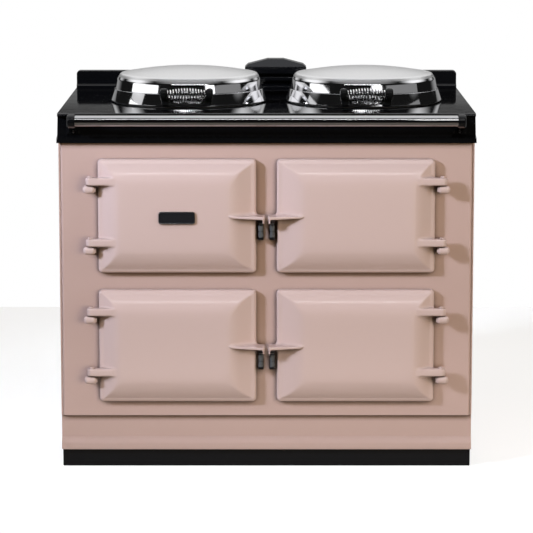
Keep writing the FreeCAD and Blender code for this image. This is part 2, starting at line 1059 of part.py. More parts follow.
def make_handle():
    """A thin fin that grows out of the door and turns down into a nose at its end."""
    top = handle_thickness / 2

    def plan(e, d, z=-top):
        return V(door_inner - e, door_back - d, z)

    corner = handle_end_radius
    turn = corner * (1 - math.cos(math.pi / 4))
    fin = Outline(plan(-handle_reach, handle_tip_depth))
    fin.line(plan(-handle_waist_reach, handle_waist_front))
    fin.line(plan(handle_overhang - corner, handle_front))
    fin.arc(
        plan(handle_overhang - turn, handle_front - turn),
        plan(handle_overhang, handle_front - corner),
    )
    fin.line(plan(handle_overhang, handle_back))
    fin.line(plan(-handle_waist_reach, handle_back))
    blade = fin.face().extrude(V(0, 0, handle_thickness))

    tall = fin.face().extrude(V(0, 0, handle_thickness + nose_drop - top))
    end = door_inner - handle_overhang
    keep = rounded_box(
        (end, end + nose_thickness),
        (door_back - handle_front, door_back - handle_front + nose_depth),
        (-top, nose_drop),
        handle_edge_radius,
        V(1, 0, 0),
    )
    nose = moved(tall.common(keep), z=top - nose_drop)
    return blade, nose


def make_lug(bottom):
    """The arm on the door that turns about the hinge pin."""
    root = hinge_x - lug_reach
    front = hinge_y - lug_radius
    back = hinge_y + lug_radius
    arm = Outline(V(root, front, bottom))
    arm.line(V(hinge_x, front, bottom))
    arm.arc(V(hinge_x + lug_radius, hinge_y, bottom), V(hinge_x, back, bottom))
    arm.line(V(root, back, bottom))
    block = arm.face().extrude(V(0, 0, lug_height))
    rims = [edge for edge in block.Edges if is_circle(edge)]
    rims += edges_along(block, V(1, 0, 0))
    return block.makeFillet(lug_edge_radius, rims)


def make_door(with_seal):
    door = make_pillow()
    blade, nose = make_handle()
    door = door.fuse([blade, nose] + [make_lug(bottom) for bottom in lug_bottoms])
    margin = door_pocket_margin
    cuts = [rounded_box(
        (door_inner + margin, door_outer - margin),
        (door_back - door_pocket_depth, door_back + overrun),
        around(0, door_height / 2 - margin),
        plug_radius,
        V(0, 1, 0),
    )]
    cuts.append(box(
        (door_inner + door_core_margin_x, door_outer - door_core_margin_x),
        (door_back - door_core_depth, door_back),
        around(0, door_height / 2 - door_core_margin_z),
    ))
    if with_seal:
        cuts.append(seal_ring(overrun))
    for bottom in lug_bottoms:
        low = V(hinge_x, hinge_y, bottom - overrun)
        high = V(hinge_x, hinge_y, bottom + lug_height + overrun)
        cuts.append(rod(hinge_pin_radius + pin_fit, low, high))
    return door.cut(cuts)


def seal_ring(proud):
    """The rope seal about the mouth, standing proud of the door's back."""
    inner_x = mouth_width / 2 + seal_margin
    inner_z = mouth_height / 2 + seal_margin
    depth = (door_back - seal_depth, door_back + proud)
    outer = rounded_box(
        around(door_x, inner_x + seal_width), depth, around(0, inner_z + seal_width),
        mouth_radius + seal_width, V(0, 1, 0),
    )
    inner = rounded_box(
        around(door_x, inner_x), depth, around(0, inner_z), mouth_radius, V(0, 1, 0)
    )
    return outer.cut(inner)


def make_door_liner():
    """A pressed tray that lines the door and plugs the oven mouth."""
    seat = door_back - door_pocket_depth
    flange = rounded_box(
        around(door_x, door_width / 2 - door_pocket_margin - seat_gap),
        (seat, seat + liner_sheet),
        around(0, door_height / 2 - door_pocket_margin - seat_gap),
        plug_radius - seat_gap,
        V(0, 1, 0),
    )
    tray = rounded_box(
        around(door_x, plug_width / 2),
        (seat, seat + plug_depth),
        around(0, plug_height / 2),
        plug_radius,
        V(0, 1, 0),
    )
    inside = rounded_box(
        around(door_x, plug_width / 2 - liner_sheet),
        (seat - overrun, seat + plug_depth - liner_sheet),
        around(0, plug_height / 2 - liner_sheet),
        plug_radius - liner_sheet,
        V(0, 1, 0),
    )
    return tidy(flange.fuse(tray).cut(inside))


def make_badge():
    """A blank plate with a raised rim, in the middle of the upper left door."""
    low = around(-door_x, badge_width / 2)
    high = around(upper_door_height, badge_height / 2)
    plate = rounded_box(
        low, (door_front - badge_thickness, door_front), high, badge_corner_radius, V(0, 1, 0)
    )
    field = rounded_box(
        around(-door_x, badge_width / 2 - badge_rim_width),
        (door_front - badge_thickness - overrun, door_front - badge_thickness + badge_rim_height),
        around(upper_door_height, badge_height / 2 - badge_rim_width),
        badge_corner_radius - badge_rim_width,
        V(0, 1, 0),
    )
    return [plate.cut(field)]


def make_hinge_bracket(bottom):
    """The knuckle under a door lug, on a stub and rosette."""
    low = bottom - seat_gap - knuckle_height
    middle = low + knuckle_height / 2
    knuckle = rounded_box(
        (hinge_x - knuckle_inner_reach, hinge_x + knuckle_outer_reach),
        around(hinge_y, knuckle_radius),
        (low, low + knuckle_height),
        knuckle_edge_radius,
        V(1, 0, 0),
    )
    outer_rim = [
        edge for edge in knuckle.Edges
        if all(v.Point.x > hinge_x + knuckle_outer_reach - pin_fit for v in edge.Vertexes)
    ]
    knuckle = knuckle.makeFillet(knuckle_edge_radius - seat_gap, outer_rim)
    stub = rod(stub_radius, V(hinge_x, hinge_y, middle), V(hinge_x, plate_face, middle))
    rosette = rod(
        rosette_radius,
        V(hinge_x, plate_face, middle),
        V(hinge_x, plate_face - rosette_thickness, middle),
    )
    rim = [
        edge for edge in rosette.Edges
        if is_circle(edge) and edge.Vertexes[0].Point.y < plate_face - pin_fit
    ]
    rosette = rosette.makeFillet(rosette_thickness / 2, rim)
    inner_end = hinge_x - knuckle_inner_reach
    dimple = rod(
        knuckle_dimple_radius,
        V(inner_end - overrun, hinge_y, middle),
        V(inner_end + knuckle_dimple_depth, hinge_y, middle),
    )
    hole = rod(
        hinge_pin_radius + pin_fit,
        V(hinge_x, hinge_y, low - overrun),
        V(hinge_x, hinge_y, low + knuckle_height + overrun),
    )
    return tidy(knuckle.fuse([stub, rosette])).cut([hole, dimple])


def make_hinge_pin(bottom):
    """A headed pin through a lug and the knuckle under it."""
    low = bottom - seat_gap - knuckle_height
    high = bottom + lug_height + seat_gap
    shank = rod(hinge_pin_radius, V(hinge_x, hinge_y, low), V(hinge_x, hinge_y, high))
    top = V(hinge_x, hinge_y, high + hinge_pin_head_height)
    head = rod(hinge_pin_head_radius, V(hinge_x, hinge_y, high), top)
    rim = [edge for edge in head.Edges if is_circle(edge) and edge.Vertexes[0].Point.z == top.z]
    return tidy(shank.fuse(head.makeFillet(hinge_pin_head_height / 2, rim)))


def at_every_door(make):
    """A right-hand piece repeated at both hinges of all four doors."""
    return [
        on_side(moved(make(bottom), z=middle), side)
        for middle in rows.values()
        for side in (-1, 1)
        for bottom in lug_bottoms
    ]


def make_lid_pins():
    """The pins of the two lid hinges."""
    half = lid_barrel_length / 2 + seat_gap + lid_ear_thickness
    return [
        rod(lid_pin_radius, V(x - half, lid_hinge_y, lid_hinge_z), V(x + half, lid_hinge_y, lid_hinge_z))
        for x in lid_places.values()
    ]


# The catches


def roller_limits():
    """The bottom and top of a catch roller, about the door's middle."""
    return (-catch_drop - roller_length, -catch_drop)


def make_catch_bracket():
    low, high = roller_limits()
    ear_low = low - seat_gap - catch_ear_thickness
    ear_high = high + seat_gap + catch_ear_thickness
    base = rounded_box(
        around(roller_x, catch_ear_half_width),
        (plate_face - catch_base_thickness, plate_face),
        (ear_low - catch_base_margin, ear_high + catch_base_margin),
        catch_base_margin,
        V(0, 1, 0),
    )
    ears = [
        rounded_box(
            around(roller_x, catch_ear_half_width),
            (roller_y - catch_ear_front, plate_face - catch_base_thickness),
            (floor, floor + catch_ear_thickness),
            catch_base_margin,
            V(0, 0, 1),
        )
        for floor in (ear_low, ear_high - catch_ear_thickness)
    ]
    webs = [
        box(
            around(roller_x, catch_ear_half_width),
            (plate_face - catch_base_thickness - catch_base_margin, plate_face),
            (floor, floor + catch_ear_thickness),
        )
        for floor in (ear_low, ear_high - catch_ear_thickness)
    ]
    pin = rod(catch_pin_radius, V(roller_x, roller_y, ear_low), V(roller_x, roller_y, ear_high))
    return tidy(base.fuse(ears + webs + [pin]))


def make_roller():
    low, high = roller_limits()
    drum = rod(roller_radius, V(roller_x, roller_y, low), V(roller_x, roller_y, high))
    middle = (low + high) / 2
    cuts = [rod(
        catch_pin_radius + pin_fit,
        V(roller_x, roller_y, low - overrun),
        V(roller_x, roller_y, high + overrun),
    )]
    for level in (low + roller_length / 4, middle, high - roller_length / 4):
        floor = V(roller_x, roller_y, level - roller_band_height / 2)
        top = V(roller_x, roller_y, level + roller_band_height / 2)
        band = rod(roller_radius + overrun, floor, top)
        cuts.append(band.cut(rod(roller_radius - roller_band_depth, floor, top)))
    return drum.cut(cuts)


# The handrail


def screw_runs():
    """Where each handrail screw's shank starts inside the top plate and where it ends."""
    middle = rail_half_length + rail_head_width / 2
    floor = body_top + top_flange_height + top_ledge_height
    centre = floor + rail_root_height / 2
    runs = []
    for side in (-1, 1):
        for step in (-1, 1):
            z = centre + step * rail_screw_spacing / 2
            start = V(side * middle, recess_face + top_wall + overrun, z)
            end = V(side * middle, recess_face - rail_screw_depth, z)
            runs.append((start, end))
    return runs


def make_handrail_screws():
    screws = []
    head_face = recess_face + top_wall
    for start, end in screw_runs():
        shank = rod(rail_screw_radius, V(start.x, head_face, start.z), end)
        head = rod(
            rail_screw_head_radius,
            V(start.x, head_face, start.z),
            V(start.x, head_face + rail_screw_head_height, start.z),
        )
        screws.append(tidy(shank.fuse(head)))
    return screws


def make_handrail():
    half = rail_half_length + rail_socket_depth
    tube = rod(rail_radius, V(-half, rail_y, rail_z), V(half, rail_y, rail_z))
    past = half + overrun
    bore = rod(rail_radius - rail_wall, V(-past, rail_y, rail_z), V(past, rail_y, rail_z))
    return [tube.cut(bore)]


def make_rail_bracket():
    inner = rail_half_length
    outer = inner + rail_head_width
    head = rod(rail_head_radius, V(inner, rail_y, rail_z), V(outer, rail_y, rail_z))
    rim = [edge for edge in head.Edges if is_circle(edge)]
    head = head.makeFillet(rail_head_edge_radius, rim)
    floor = body_top + top_flange_height + top_ledge_height
    top = floor + rail_root_height
    neck_x = inner + pin_fit
    bottom_tangent = rail_z - rail_head_radius
    neck = polygon([
        V(neck_x, rail_y, bottom_tangent),
        V(neck_x, recess_face - rail_root_thickness, floor + rail_neck_bottom),
        V(neck_x, recess_face, floor + rail_neck_bottom),
        V(neck_x, recess_face, top),
        V(neck_x, y_front, top),
        V(neck_x, rail_y + rail_head_radius, rail_z + rail_neck_top),
        V(neck_x, rail_y, rail_z + rail_neck_top),
    ]).extrude(V(rail_head_width - 2 * pin_fit, 0, 0))
    root = rounded_box(
        (inner - rail_root_flare, outer + rail_root_flare),
        (recess_face - rail_root_thickness, recess_face),
        (floor, top),
        rail_root_radius,
        V(0, 1, 0),
    )
    solid = head.fuse([neck, root])
    cuts = [rod(
        rail_radius + pin_fit,
        V(inner - overrun, rail_y, rail_z),
        V(inner + rail_socket_depth + seat_gap, rail_y, rail_z),
    )]
    for start, end in screw_runs():
        if start.x > 0:
            cuts.append(rod(rail_screw_radius + pin_fit, start, end - V(0, seat_gap, 0)))
    return tidy(solid).cut(cuts)


# The lids, drawn about the hob's middle line at X zero


def lid_profile(grow):
    """The lid's outer outline from its rim to its apex, grown outwards by a gap."""
    drop = lid_apex - lid_shoulder
    radius = (lid_shoulder_radius ** 2 + drop ** 2) / (2 * drop)
    half = lid_shoulder_radius / 2
    fall = radius - math.sqrt(radius ** 2 - half ** 2)
    climb = (lid_shoulder - lid_seam) / (lid_bend - lid_seam)
    corner_radius = lid_seam_radius - (lid_seam_radius - lid_bend_radius) * climb
    bend = V(lid_bend_radius, hob_y, lid_bend)
    shoulder = V(lid_shoulder_radius, hob_y, lid_shoulder)
    turn = arc_middle(bend, V(corner_radius, hob_y, lid_shoulder), shoulder)
    slant = math.sqrt(1 / 2)
    return {
        "rim": V(lid_base_radius + grow, hob_y, lid_base),
        "band": V(lid_seam_radius + lid_seam_step + grow, hob_y, lid_seam),
        "seam": V(lid_seam_radius + grow, hob_y, lid_seam),
        "bend": bend + V(grow, 0, 0),
        "turn": turn + V(grow * slant, 0, grow * slant),
        "shoulder": shoulder + V(0, 0, grow),
        "dome": V(half, hob_y, lid_apex - fall + grow),
        "apex": V(0, hob_y, lid_apex + grow),
    }


def lid_cutter():
    """The space that a lid fills, with a fitting gap, for what is fixed to its side."""
    at = lid_profile(lid_fit)
    outline = Outline(at["rim"] - V(0, 0, overrun))
    outline.line(at["rim"])
    outline.line(at["band"])
    outline.line(at["seam"])
    outline.line(at["bend"])
    outline.arc(at["turn"], at["shoulder"])
    outline.arc(at["dome"], at["apex"])
    outline.line(V(0, hob_y, lid_base - overrun))
    return outline.face().revolve(V(0, hob_y, 0), V(0, 0, 1), 360)


def make_lid():
    at = lid_profile(0)
    inner = lid_profile(-lid_sheet)
    outline = Outline(at["rim"])
    outline.line(at["band"])
    outline.line(at["seam"])
    outline.line(at["bend"])
    outline.arc(at["turn"], at["shoulder"])
    outline.arc(at["dome"], at["apex"])
    outline.line(inner["apex"])
    outline.arc(inner["dome"], inner["shoulder"])
    outline.arc(inner["turn"], inner["bend"])
    outline.line(inner["seam"])
    outline.line(inner["rim"] + V(0, 0, lid_sheet))
    edge = lid_base_radius - lid_flange_width
    outline.line(V(edge, hob_y, lid_base + lid_sheet))
    outline.line(V(edge, hob_y, lid_base))
    return outline.face().revolve(V(0, hob_y, 0), V(0, 0, 1), 360)


def make_lid_liner():
    floor = hotplate_top + seat_gap
    seat = lid_base + lid_sheet
    low = rod(lid_liner_radius, V(0, hob_y, floor), V(0, hob_y, seat))
    wide = lid_liner_radius + lid_liner_overlap
    return low.fuse(rod(wide, V(0, hob_y, seat), V(0, hob_y, seat + lid_liner_thickness)))


def make_grip_mount():
    """The dark casting on the lid's side: a back plate, two cupped lugs and the rod."""
    face = hob_y - lid_seam_radius - lid_seam_step - grip_plate_proud
    plate = box(
        around(0, grip_plate_half_width),
        (face, hob_y - lid_seam_radius / 2),
        (hob_height + grip_plate_bottom, hob_height + grip_plate_top),
    )
    top = hob_height + grip_plate_top
    corners = [edge for edge in edges_along(plate, V(0, 1, 0)) if edge.Vertexes[0].Point.z == top]
    plate = plate.makeFillet(grip_plate_radius, corners)
    inner = coil_length / 2
    outer = inner + grip_lug_width
    lugs = []
    cups = []
    for side in (-1, 1):
        boss = rod(grip_lug_radius, V(side * inner, grip_y, grip_z), V(side * outer, grip_y, grip_z))
        boss = boss.makeFillet(grip_lug_edge_radius, [edge for edge in boss.Edges if is_circle(edge)])
        arm = rounded_box(
            sorted((side * (inner + pin_fit), side * (outer - pin_fit))),
            (grip_y, hob_y - lid_seam_radius / 2),
            around(grip_z, grip_lug_radius - pin_fit),
            grip_lug_edge_radius,
            V(0, 1, 0),
        )
        lugs += [boss, arm]
        cups.append(rod(
            grip_cup_radius,
            V(side * (inner - overrun), grip_y, grip_z),
            V(side * (inner + grip_cup_depth), grip_y, grip_z),
        ))
    reach = inner + grip_cup_depth + pin_fit
    bar = rod(grip_rod_radius, V(-reach, grip_y, grip_z), V(reach, grip_y, grip_z))
    return plate.fuse(lugs).cut(cups + [lid_cutter()]).fuse(bar)


def biarc(start, start_way, end, end_way):
    """Two arcs that join two points with given directions."""
    span = end - start
    both = start_way + end_way
    spread = 2 * (1 - start_way.dot(end_way))
    reach = span.dot(both)
    root = math.sqrt(reach ** 2 + spread * span.dot(span))
    handle = (root - reach) / spread
    first = start + start_way * handle
    second = end - end_way * handle
    joint = (first + second) * 0.5
    return [(start, first, joint), (joint, second, end)]


def arc_middle(start, corner, end):
    """The middle of the arc between two points whose tangents meet at a corner."""
    chord = (start + end) * 0.5
    rise = corner - chord
    half = (end - start).Length / 2
    turn = math.atan2(rise.Length, half)
    return chord + rise * (half * math.tan(turn / 2) / rise.Length)


def coil_arcs():
    """The arcs of a lid handle's coil, which is widest in its middle."""
    bend = coil_bend_radius
    wire = 2 * coil_wire_radius
    end_x = coil_length / 2 + grip_cup_depth
    half_run = end_x - wire - bend
    count = 2 * coil_turns

    def place(step):
        along = step / count
        x = (2 * along - 1) * half_run
        radius = coil_end_radius + (coil_middle_radius - coil_end_radius) * math.sin(math.pi * along)
        angle = step * math.pi
        return V(x, grip_y + radius * math.cos(angle), grip_z + radius * math.sin(angle))

    def way(step):
        small = 1 / (8 * count)
        low = max(0, step - small)
        high = min(count, step + small)
        return (place(high) - place(low)).normalize()

    steps = range(count + 1)
    points = [place(step) for step in steps]
    ways = [way(step) for step in steps]
    along_x = V(1, 0, 0)
    arcs = []
    first_corner = points[0] - ways[0] * bend
    last_corner = points[-1] + ways[-1] * bend
    first = first_corner - along_x * bend
    last = last_corner + along_x * bend
    arcs.append((first, first_corner, points[0]))
    for step in range(count):
        arcs += biarc(points[step], ways[step], points[step + 1], ways[step + 1])
    arcs.append((points[-1], last_corner, last))
    return V(-end_x, first.y, first.z), arcs, V(end_x, last.y, last.z)


def coil_gap(wire):
    """The least gap between turns, measured on points along the coil."""
    points = wire.discretize(Number=coil_turns * points_per_turn)
    step = wire.Length / (len(points) - 1)
    skip = int(math.pi * coil_wire_radius * 2 / step) + 1
    least = wire.Length
    for number, point in enumerate(points):
        for other in points[number + skip:]:
            least = min(least, (other - point).Length)
    return least - 2 * coil_wire_radius


def make_coil():
    start, arcs, end = coil_arcs()
    edges = [Part.LineSegment(start, arcs[0][0]).toShape()]
    for first, corner, last in arcs:
        edges.append(Part.Arc(first, arc_middle(first, corner, last), last).toShape())
    edges.append(Part.LineSegment(arcs[-1][2], end).toShape())
    spine = Part.Wire(edges)
    section = Part.Wire(Part.makeCircle(coil_wire_radius, start, V(1, 0, 0)))
    tube = Part.BRepOffsetAPI.MakePipeShell(spine)
    tube.add(section)
    tube.build()
    tube.makeSolid()
    coil = tube.shape()
    nominal = math.pi * coil_wire_radius ** 2 * spine.Length
    print("coil gap", round(coil_gap(spine), 2), "volume share", round(coil.Volume / nominal, 4))
    return coil


def make_lid_hinge_arm():
    half = lid_barrel_length / 2
    barrel = rod(
        lid_barrel_radius,
        V(-half, lid_hinge_y, lid_hinge_z),
        V(half, lid_hinge_y, lid_hinge_z),
    )
    arm = box(
        around(0, half),
        (hob_y + lid_seam_radius / 2, lid_hinge_y),
        around(lid_hinge_z, lid_arm_height / 2),
    )
    bore = rod(
        lid_pin_radius + pin_fit,
        V(-half - overrun, lid_hinge_y, lid_hinge_z),
        V(half + overrun, lid_hinge_y, lid_hinge_z),
    )
    return barrel.fuse(arm).cut([bore, lid_cutter()])


def make_lid_hinge_bracket():
    """Two ears on a foot, which hold a lid's hinge pin."""
    inner = lid_barrel_length / 2 + seat_gap
    outer = inner + lid_ear_thickness
    foot = box(
        around(0, outer),
        around(lid_hinge_y, lid_ear_foot_depth / 2),
        (hob_height, hob_height + lid_ear_foot_height),
    )
    parts = []
    for side in (-1, 1):
        start = V(side * inner, lid_hinge_y, lid_hinge_z)
        end = V(side * outer, lid_hinge_y, lid_hinge_z)
        parts.append(rod(lid_ear_radius, start, end))
        parts.append(box(
            sorted((side * inner, side * outer)),
            around(lid_hinge_y, lid_ear_radius),
            (hob_height, lid_hinge_z),
        ))
    bore = rod(
        lid_pin_radius + pin_fit,
        V(-outer - overrun, lid_hinge_y, lid_hinge_z),
        V(outer + overrun, lid_hinge_y, lid_hinge_z),
    )
    return tidy(foot.fuse(parts)).cut(bore)


# Every node and its solids


def all_nodes():
    nodes = {
        "plinth": make_plinth(),
        "levelling_feet": make_levelling_feet(),
        "base_frame": make_base_frame(),
        "left_side_panel": make_side_panel(-1),
        "right_side_panel": make_side_panel(1),
        "back_panel": make_back_panel(),
        "cable_gland": make_cable_gland(),
        "front_plate": make_front_plate(),
        "base_trim": make_base_trim(),
        "top_plate": make_top_plate(),
        "rear_upstand": make_rear_upstand(),
        "vent_cowl": make_vent_cowl(),
        "hotplate_elements": make_hotplate_elements(),
        "hotplate_insulation": make_hotplate_insulation(),
        "oven_shelves": make_oven_shelves(),
        "oven_elements": make_oven_elements(),
        "oven_insulation": make_oven_insulation(),
        "control_box": make_control_box(),
        "control_fascia": make_control_fascia(),
        "thermostats": make_thermostats(),
        "hinge_brackets": at_every_door(make_hinge_bracket),
        "hinge_pins": at_every_door(make_hinge_pin) + make_lid_pins(),
        "handrail": make_handrail(),
        "handrail_screws": make_handrail_screws(),
        "badge_plate": make_badge(),
    }
    bracket = make_rail_bracket()
    nodes["handrail_brackets"] = [bracket, mirrored(bracket)]
    for name in oven_places:
        nodes[name + "_oven"] = make_oven(name)
    for number, x in enumerate(knob_places(), 1):
        nodes["control_knob_%d" % number] = make_knob(x)

    catch = make_catch_bracket()
    roller = make_roller()
    catches = []
    for row, middle in rows.items():
        for side, hand in ((-1, "left"), (1, "right")):
            place = "%s_%s" % (row, hand)
            heated = place != "upper_left"
            door = moved(make_door(heated), z=middle)
            nodes[place + "_door"] = [on_side(door, side)]
            catches.append(on_side(moved(catch, z=middle), side))
            nodes[place + "_catch_roller"] = [on_side(moved(roller, z=middle), side)]
            if heated:
                liner = moved(make_door_liner(), z=middle)
                seal = moved(seal_ring(door_gap - seat_gap), z=middle)
                nodes[place + "_door_liner"] = [on_side(liner, side)]
                nodes[place + "_door_seal"] = [on_side(seal, side)]
    nodes["catch_brackets"] = catches

    lid_pieces = {
        "lid": make_lid(),
        "lid_liner": make_lid_liner(),
        "lid_handle_mount": make_grip_mount(),
        "lid_handle_coil": make_coil(),
        "lid_hinge_arm": make_lid_hinge_arm(),
    }
    hinge = make_lid_hinge_bracket()
    nodes["lid_hinge_brackets"] = [moved(hinge, x=x) for x in lid_places.values()]
    for name, x in lid_places.items():
        nodes[name + "_hotplate"] = make_hotplate(x)
        for piece, shape in lid_pieces.items():
            nodes["%s_%s" % (name, piece)] = [moved(shape, x=x)]
    return nodes


def save(name, shapes):
    """Writes a node's closed solids to one file."""
    solids = [solid for shape in shapes for solid in shape.Solids]
    whole = solids[0] if len(solids) == 1 else Part.makeCompound(solids)
    whole.exportStep("parts/%s.step" % name)
    if not all(solid.isValid() and solid.isClosed() for solid in solids):
        print("not a closed valid solid:", name)


os.makedirs("parts", exist_ok=True)
built = all_nodes()
for node, node_shapes in built.items():
    save(node, node_shapes)
print(len(built), "nodes")
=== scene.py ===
import itertools
import json
import math

import bmesh
import bpy
import numpy as np
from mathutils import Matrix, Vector


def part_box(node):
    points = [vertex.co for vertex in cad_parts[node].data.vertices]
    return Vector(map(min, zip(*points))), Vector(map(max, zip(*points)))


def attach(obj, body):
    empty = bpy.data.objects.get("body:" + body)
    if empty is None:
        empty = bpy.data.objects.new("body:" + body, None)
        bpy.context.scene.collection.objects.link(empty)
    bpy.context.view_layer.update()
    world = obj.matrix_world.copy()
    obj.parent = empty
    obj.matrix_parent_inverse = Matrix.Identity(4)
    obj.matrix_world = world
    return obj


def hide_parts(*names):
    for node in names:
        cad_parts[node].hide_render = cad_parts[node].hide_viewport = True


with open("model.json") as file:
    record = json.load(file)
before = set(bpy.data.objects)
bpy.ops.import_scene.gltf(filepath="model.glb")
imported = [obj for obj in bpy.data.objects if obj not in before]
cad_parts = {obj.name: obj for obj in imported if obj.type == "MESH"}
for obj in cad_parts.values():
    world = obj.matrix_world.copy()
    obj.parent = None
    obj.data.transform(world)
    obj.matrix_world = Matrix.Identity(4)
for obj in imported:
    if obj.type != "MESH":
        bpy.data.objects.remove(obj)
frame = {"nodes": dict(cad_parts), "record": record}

# The studio and the finish of a four-door range cooker, in metres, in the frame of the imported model.

for stray in ("Cube", "Light", "Camera"):
    if stray in bpy.data.objects:
        bpy.data.objects.remove(bpy.data.objects[stray])
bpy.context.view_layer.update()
nodes = frame["nodes"]
MM = 0.001


# Node trees


class Graph:
    """A node tree, with short ways to add to it."""

    def __init__(self, tree):
        self.tree = tree

    def node(self, kind, inputs=(), **properties):
        """A new node with its properties, and with values or links for its inputs."""
        made = self.tree.nodes.new(kind)
        for name, value in properties.items():
            setattr(made, name, value)
        for socket, value in dict(inputs).items():
            self.put(made.inputs[socket], value)
        return made

    def put(self, socket, value):
        """Links an output to a socket, or sets a plain value."""
        if isinstance(value, bpy.types.NodeSocket):
            self.tree.links.new(value, socket)
        else:
            socket.default_value = value

    def math(self, operation, first, second=0.0):
        return self.node("ShaderNodeMath", {0: first, 1: second}, operation=operation).outputs[0]

    def spread(self, value, low, high, new_low=0.0, new_high=1.0, interpolation="LINEAR"):
        """A value moved from one range to another."""
        inputs = {"Value": value, "From Min": low, "From Max": high, "To Min": new_low, "To Max": new_high}
        return self.node("ShaderNodeMapRange", inputs, interpolation_type=interpolation).outputs["Result"]


# A Mix node keeps its colours in these sockets
MIX_FIRST, MIX_SECOND, MIX_RESULT = 6, 7, 2


class Shader(Graph):
    """A procedural material, built node by node."""

    def __init__(self, name, color, metallic=0.0, roughness=0.5, **sockets):
        self.material = bpy.data.materials.new(name)
        self.material.use_nodes = True
        super().__init__(self.material.node_tree)
        self.surface = self.tree.nodes["Principled BSDF"]
        self.drive("Base Color", (*color, 1.0))
        self.drive("Metallic", metallic)
        self.drive("Roughness", roughness)
        for socket, value in sockets.items():
            self.drive(socket.replace("_", " "), value)
        self.place = self.node("ShaderNodeTexCoord").outputs["Object"]
        self.material.diffuse_color = (*color, 1.0)

    def drive(self, socket, value):
        """Gives a socket of the surface a plain value or another node's output."""
        self.put(self.surface.inputs[socket], value)

    def stretch(self, scale):
        """The place scaled by a vector, for grain that runs one way."""
        return self.node("ShaderNodeMapping", {"Vector": self.place, "Scale": scale}).outputs["Vector"]

    def noise(self, scale, detail=2.0, roughness=0.5, vector=None):
        inputs = {"Vector": vector or self.place, "Scale": scale, "Detail": detail, "Roughness": roughness}
        return self.node("ShaderNodeTexNoise", inputs).outputs["Fac"]

    def cells(self, scale):
        return self.node("ShaderNodeTexVoronoi", {"Vector": self.place, "Scale": scale}).outputs["Distance"]

    def axis(self, name):
        return self.node("ShaderNodeSeparateXYZ", {0: self.place}).outputs[name]

    def mix(self, share, first, second):
        """A colour between two colours."""
        node = self.node("ShaderNodeMix", {"Factor": share}, data_type="RGBA")
        for number, value in ((MIX_FIRST, first), (MIX_SECOND, second)):
            plain = not isinstance(value, bpy.types.NodeSocket)
            self.put(node.inputs[number], (*value, 1.0) if plain else value)
        return node.outputs[MIX_RESULT]

    def mottle(self, pattern, first, second):
        """A base colour that goes from one colour to another with a pattern."""
        self.drive("Base Color", self.mix(pattern, first, second))

    def gloss(self, pattern, smooth, rough, low=0.3, high=0.7):
        """Roughness that follows a pattern, from its low value to its high one."""
        self.drive("Roughness", self.spread(pattern, low, high, smooth, rough))

    def bump(self, height, strength, distance, under=None):
        node = self.node("ShaderNodeBump", {"Height": height, "Strength": strength, "Distance": distance})
        if under is not None:
            self.put(node.inputs["Normal"], under)
        self.drive("Normal", node.outputs["Normal"])
        return node.outputs["Normal"]


# Materials

PINK = (0.535, 0.378, 0.338)
PINK_SHADE = (0.523, 0.367, 0.326)
# Painted light: the doors' enamel is a lighter copy of the body's enamel, standing for the stronger light
# on the doors
LIT_DOOR_PINK = (0.615, 0.462, 0.430)
LIT_DOOR_CLOUD_PINK = (0.602, 0.448, 0.414)
# Painted shade: the brown that the enamel darkens to in corners and under edges, where shade falls
PAINTED_SHADE_BROWN = (0.085, 0.048, 0.028)
PAINTED_SHADE_REACH = 20 * MM
PAINTED_SHADE_SAMPLES = 8
PAINTED_SHADE_LEAN = (0.0, 0.0, 0.60)
PAINTED_SHADE_DARK, PAINTED_SHADE_LIGHT = 0.34, 0.80
BLACK = (0.0035, 0.0035, 0.004)
DOME_DROP, BEND_HALF = 24 * MM, 0.5 * MM
BADGE_FIELD, BADGE_RIM = 0.35 * MM, 0.25 * MM


def painted_shade_openness(m):
    """Painted shade: one in the open and zero in a corner, most of all in a corner under an edge, where
    shade falls.
    """
    normal = m.node("ShaderNodeNewGeometry").outputs["Normal"]
    lean = m.node("ShaderNodeVectorMath", {0: normal, 1: PAINTED_SHADE_LEAN}, operation="ADD").outputs["Vector"]
    upward = m.node("ShaderNodeVectorMath", {0: lean}, operation="NORMALIZE").outputs["Vector"]
    corner = m.node("ShaderNodeAmbientOcclusion", {"Distance": PAINTED_SHADE_REACH, "Normal": upward},
                    samples=PAINTED_SHADE_SAMPLES)
    return m.spread(corner.outputs["AO"], PAINTED_SHADE_DARK, PAINTED_SHADE_LIGHT)


def pink_enamel(name, tone, shade, corners=True):
    """Fired enamel: faint clouds, a fine orange peel, a deep gloss, and painted shade that darkens its
    corners and the places under its edges.
    """
    m = Shader(name, tone, roughness=0.28, Specular_IOR_Level=0.5,
               Coat_Weight=0.55, Coat_Roughness=0.09, Coat_IOR=1.5)
    clouded = m.mix(m.noise(3.1, 0.0, 0.5), tone, shade)
    # Painted shade: the colour goes to brown in corners and under edges
    m.drive("Base Color", m.mix(painted_shade_openness(m), PAINTED_SHADE_BROWN, clouded) if corners else clouded)
    m.gloss(m.noise(14.0, 0.0, 0.4), 0.27, 0.31, 0.0, 1.0)
    waves = m.bump(m.noise(9.0, 0.0, 0.4), 0.05, 0.0006)
    m.bump(m.noise(95.0, 3.0, 0.45), 0.06, 0.00025, waves)
    return m.material


def black_enamel():
    """Black fired enamel with an uneven gloss and a faint waviness."""
    m = Shader("black_enamel", BLACK, roughness=0.10, Specular_IOR_Level=0.35)
    m.gloss(m.noise(34.0, 5.0, 0.65), 0.035, 0.09, high=0.75)
    waves = m.bump(m.noise(11.0, 1.0, 0.4), 0.08, 0.0006)
    m.bump(m.noise(120.0, 2.0, 0.5), 0.05, 0.0002, waves)
    return m.material


def plinth_black():
    """Matt black powder coat."""
    m = Shader("plinth_black", (0.011, 0.011, 0.012), roughness=0.42, Specular_IOR_Level=0.12)
    m.gloss(m.noise(60.0, 5.0, 0.7), 0.36, 0.52)
    m.bump(m.noise(900.0, 2.0, 0.6), 0.18, 0.0002)
    return m.material


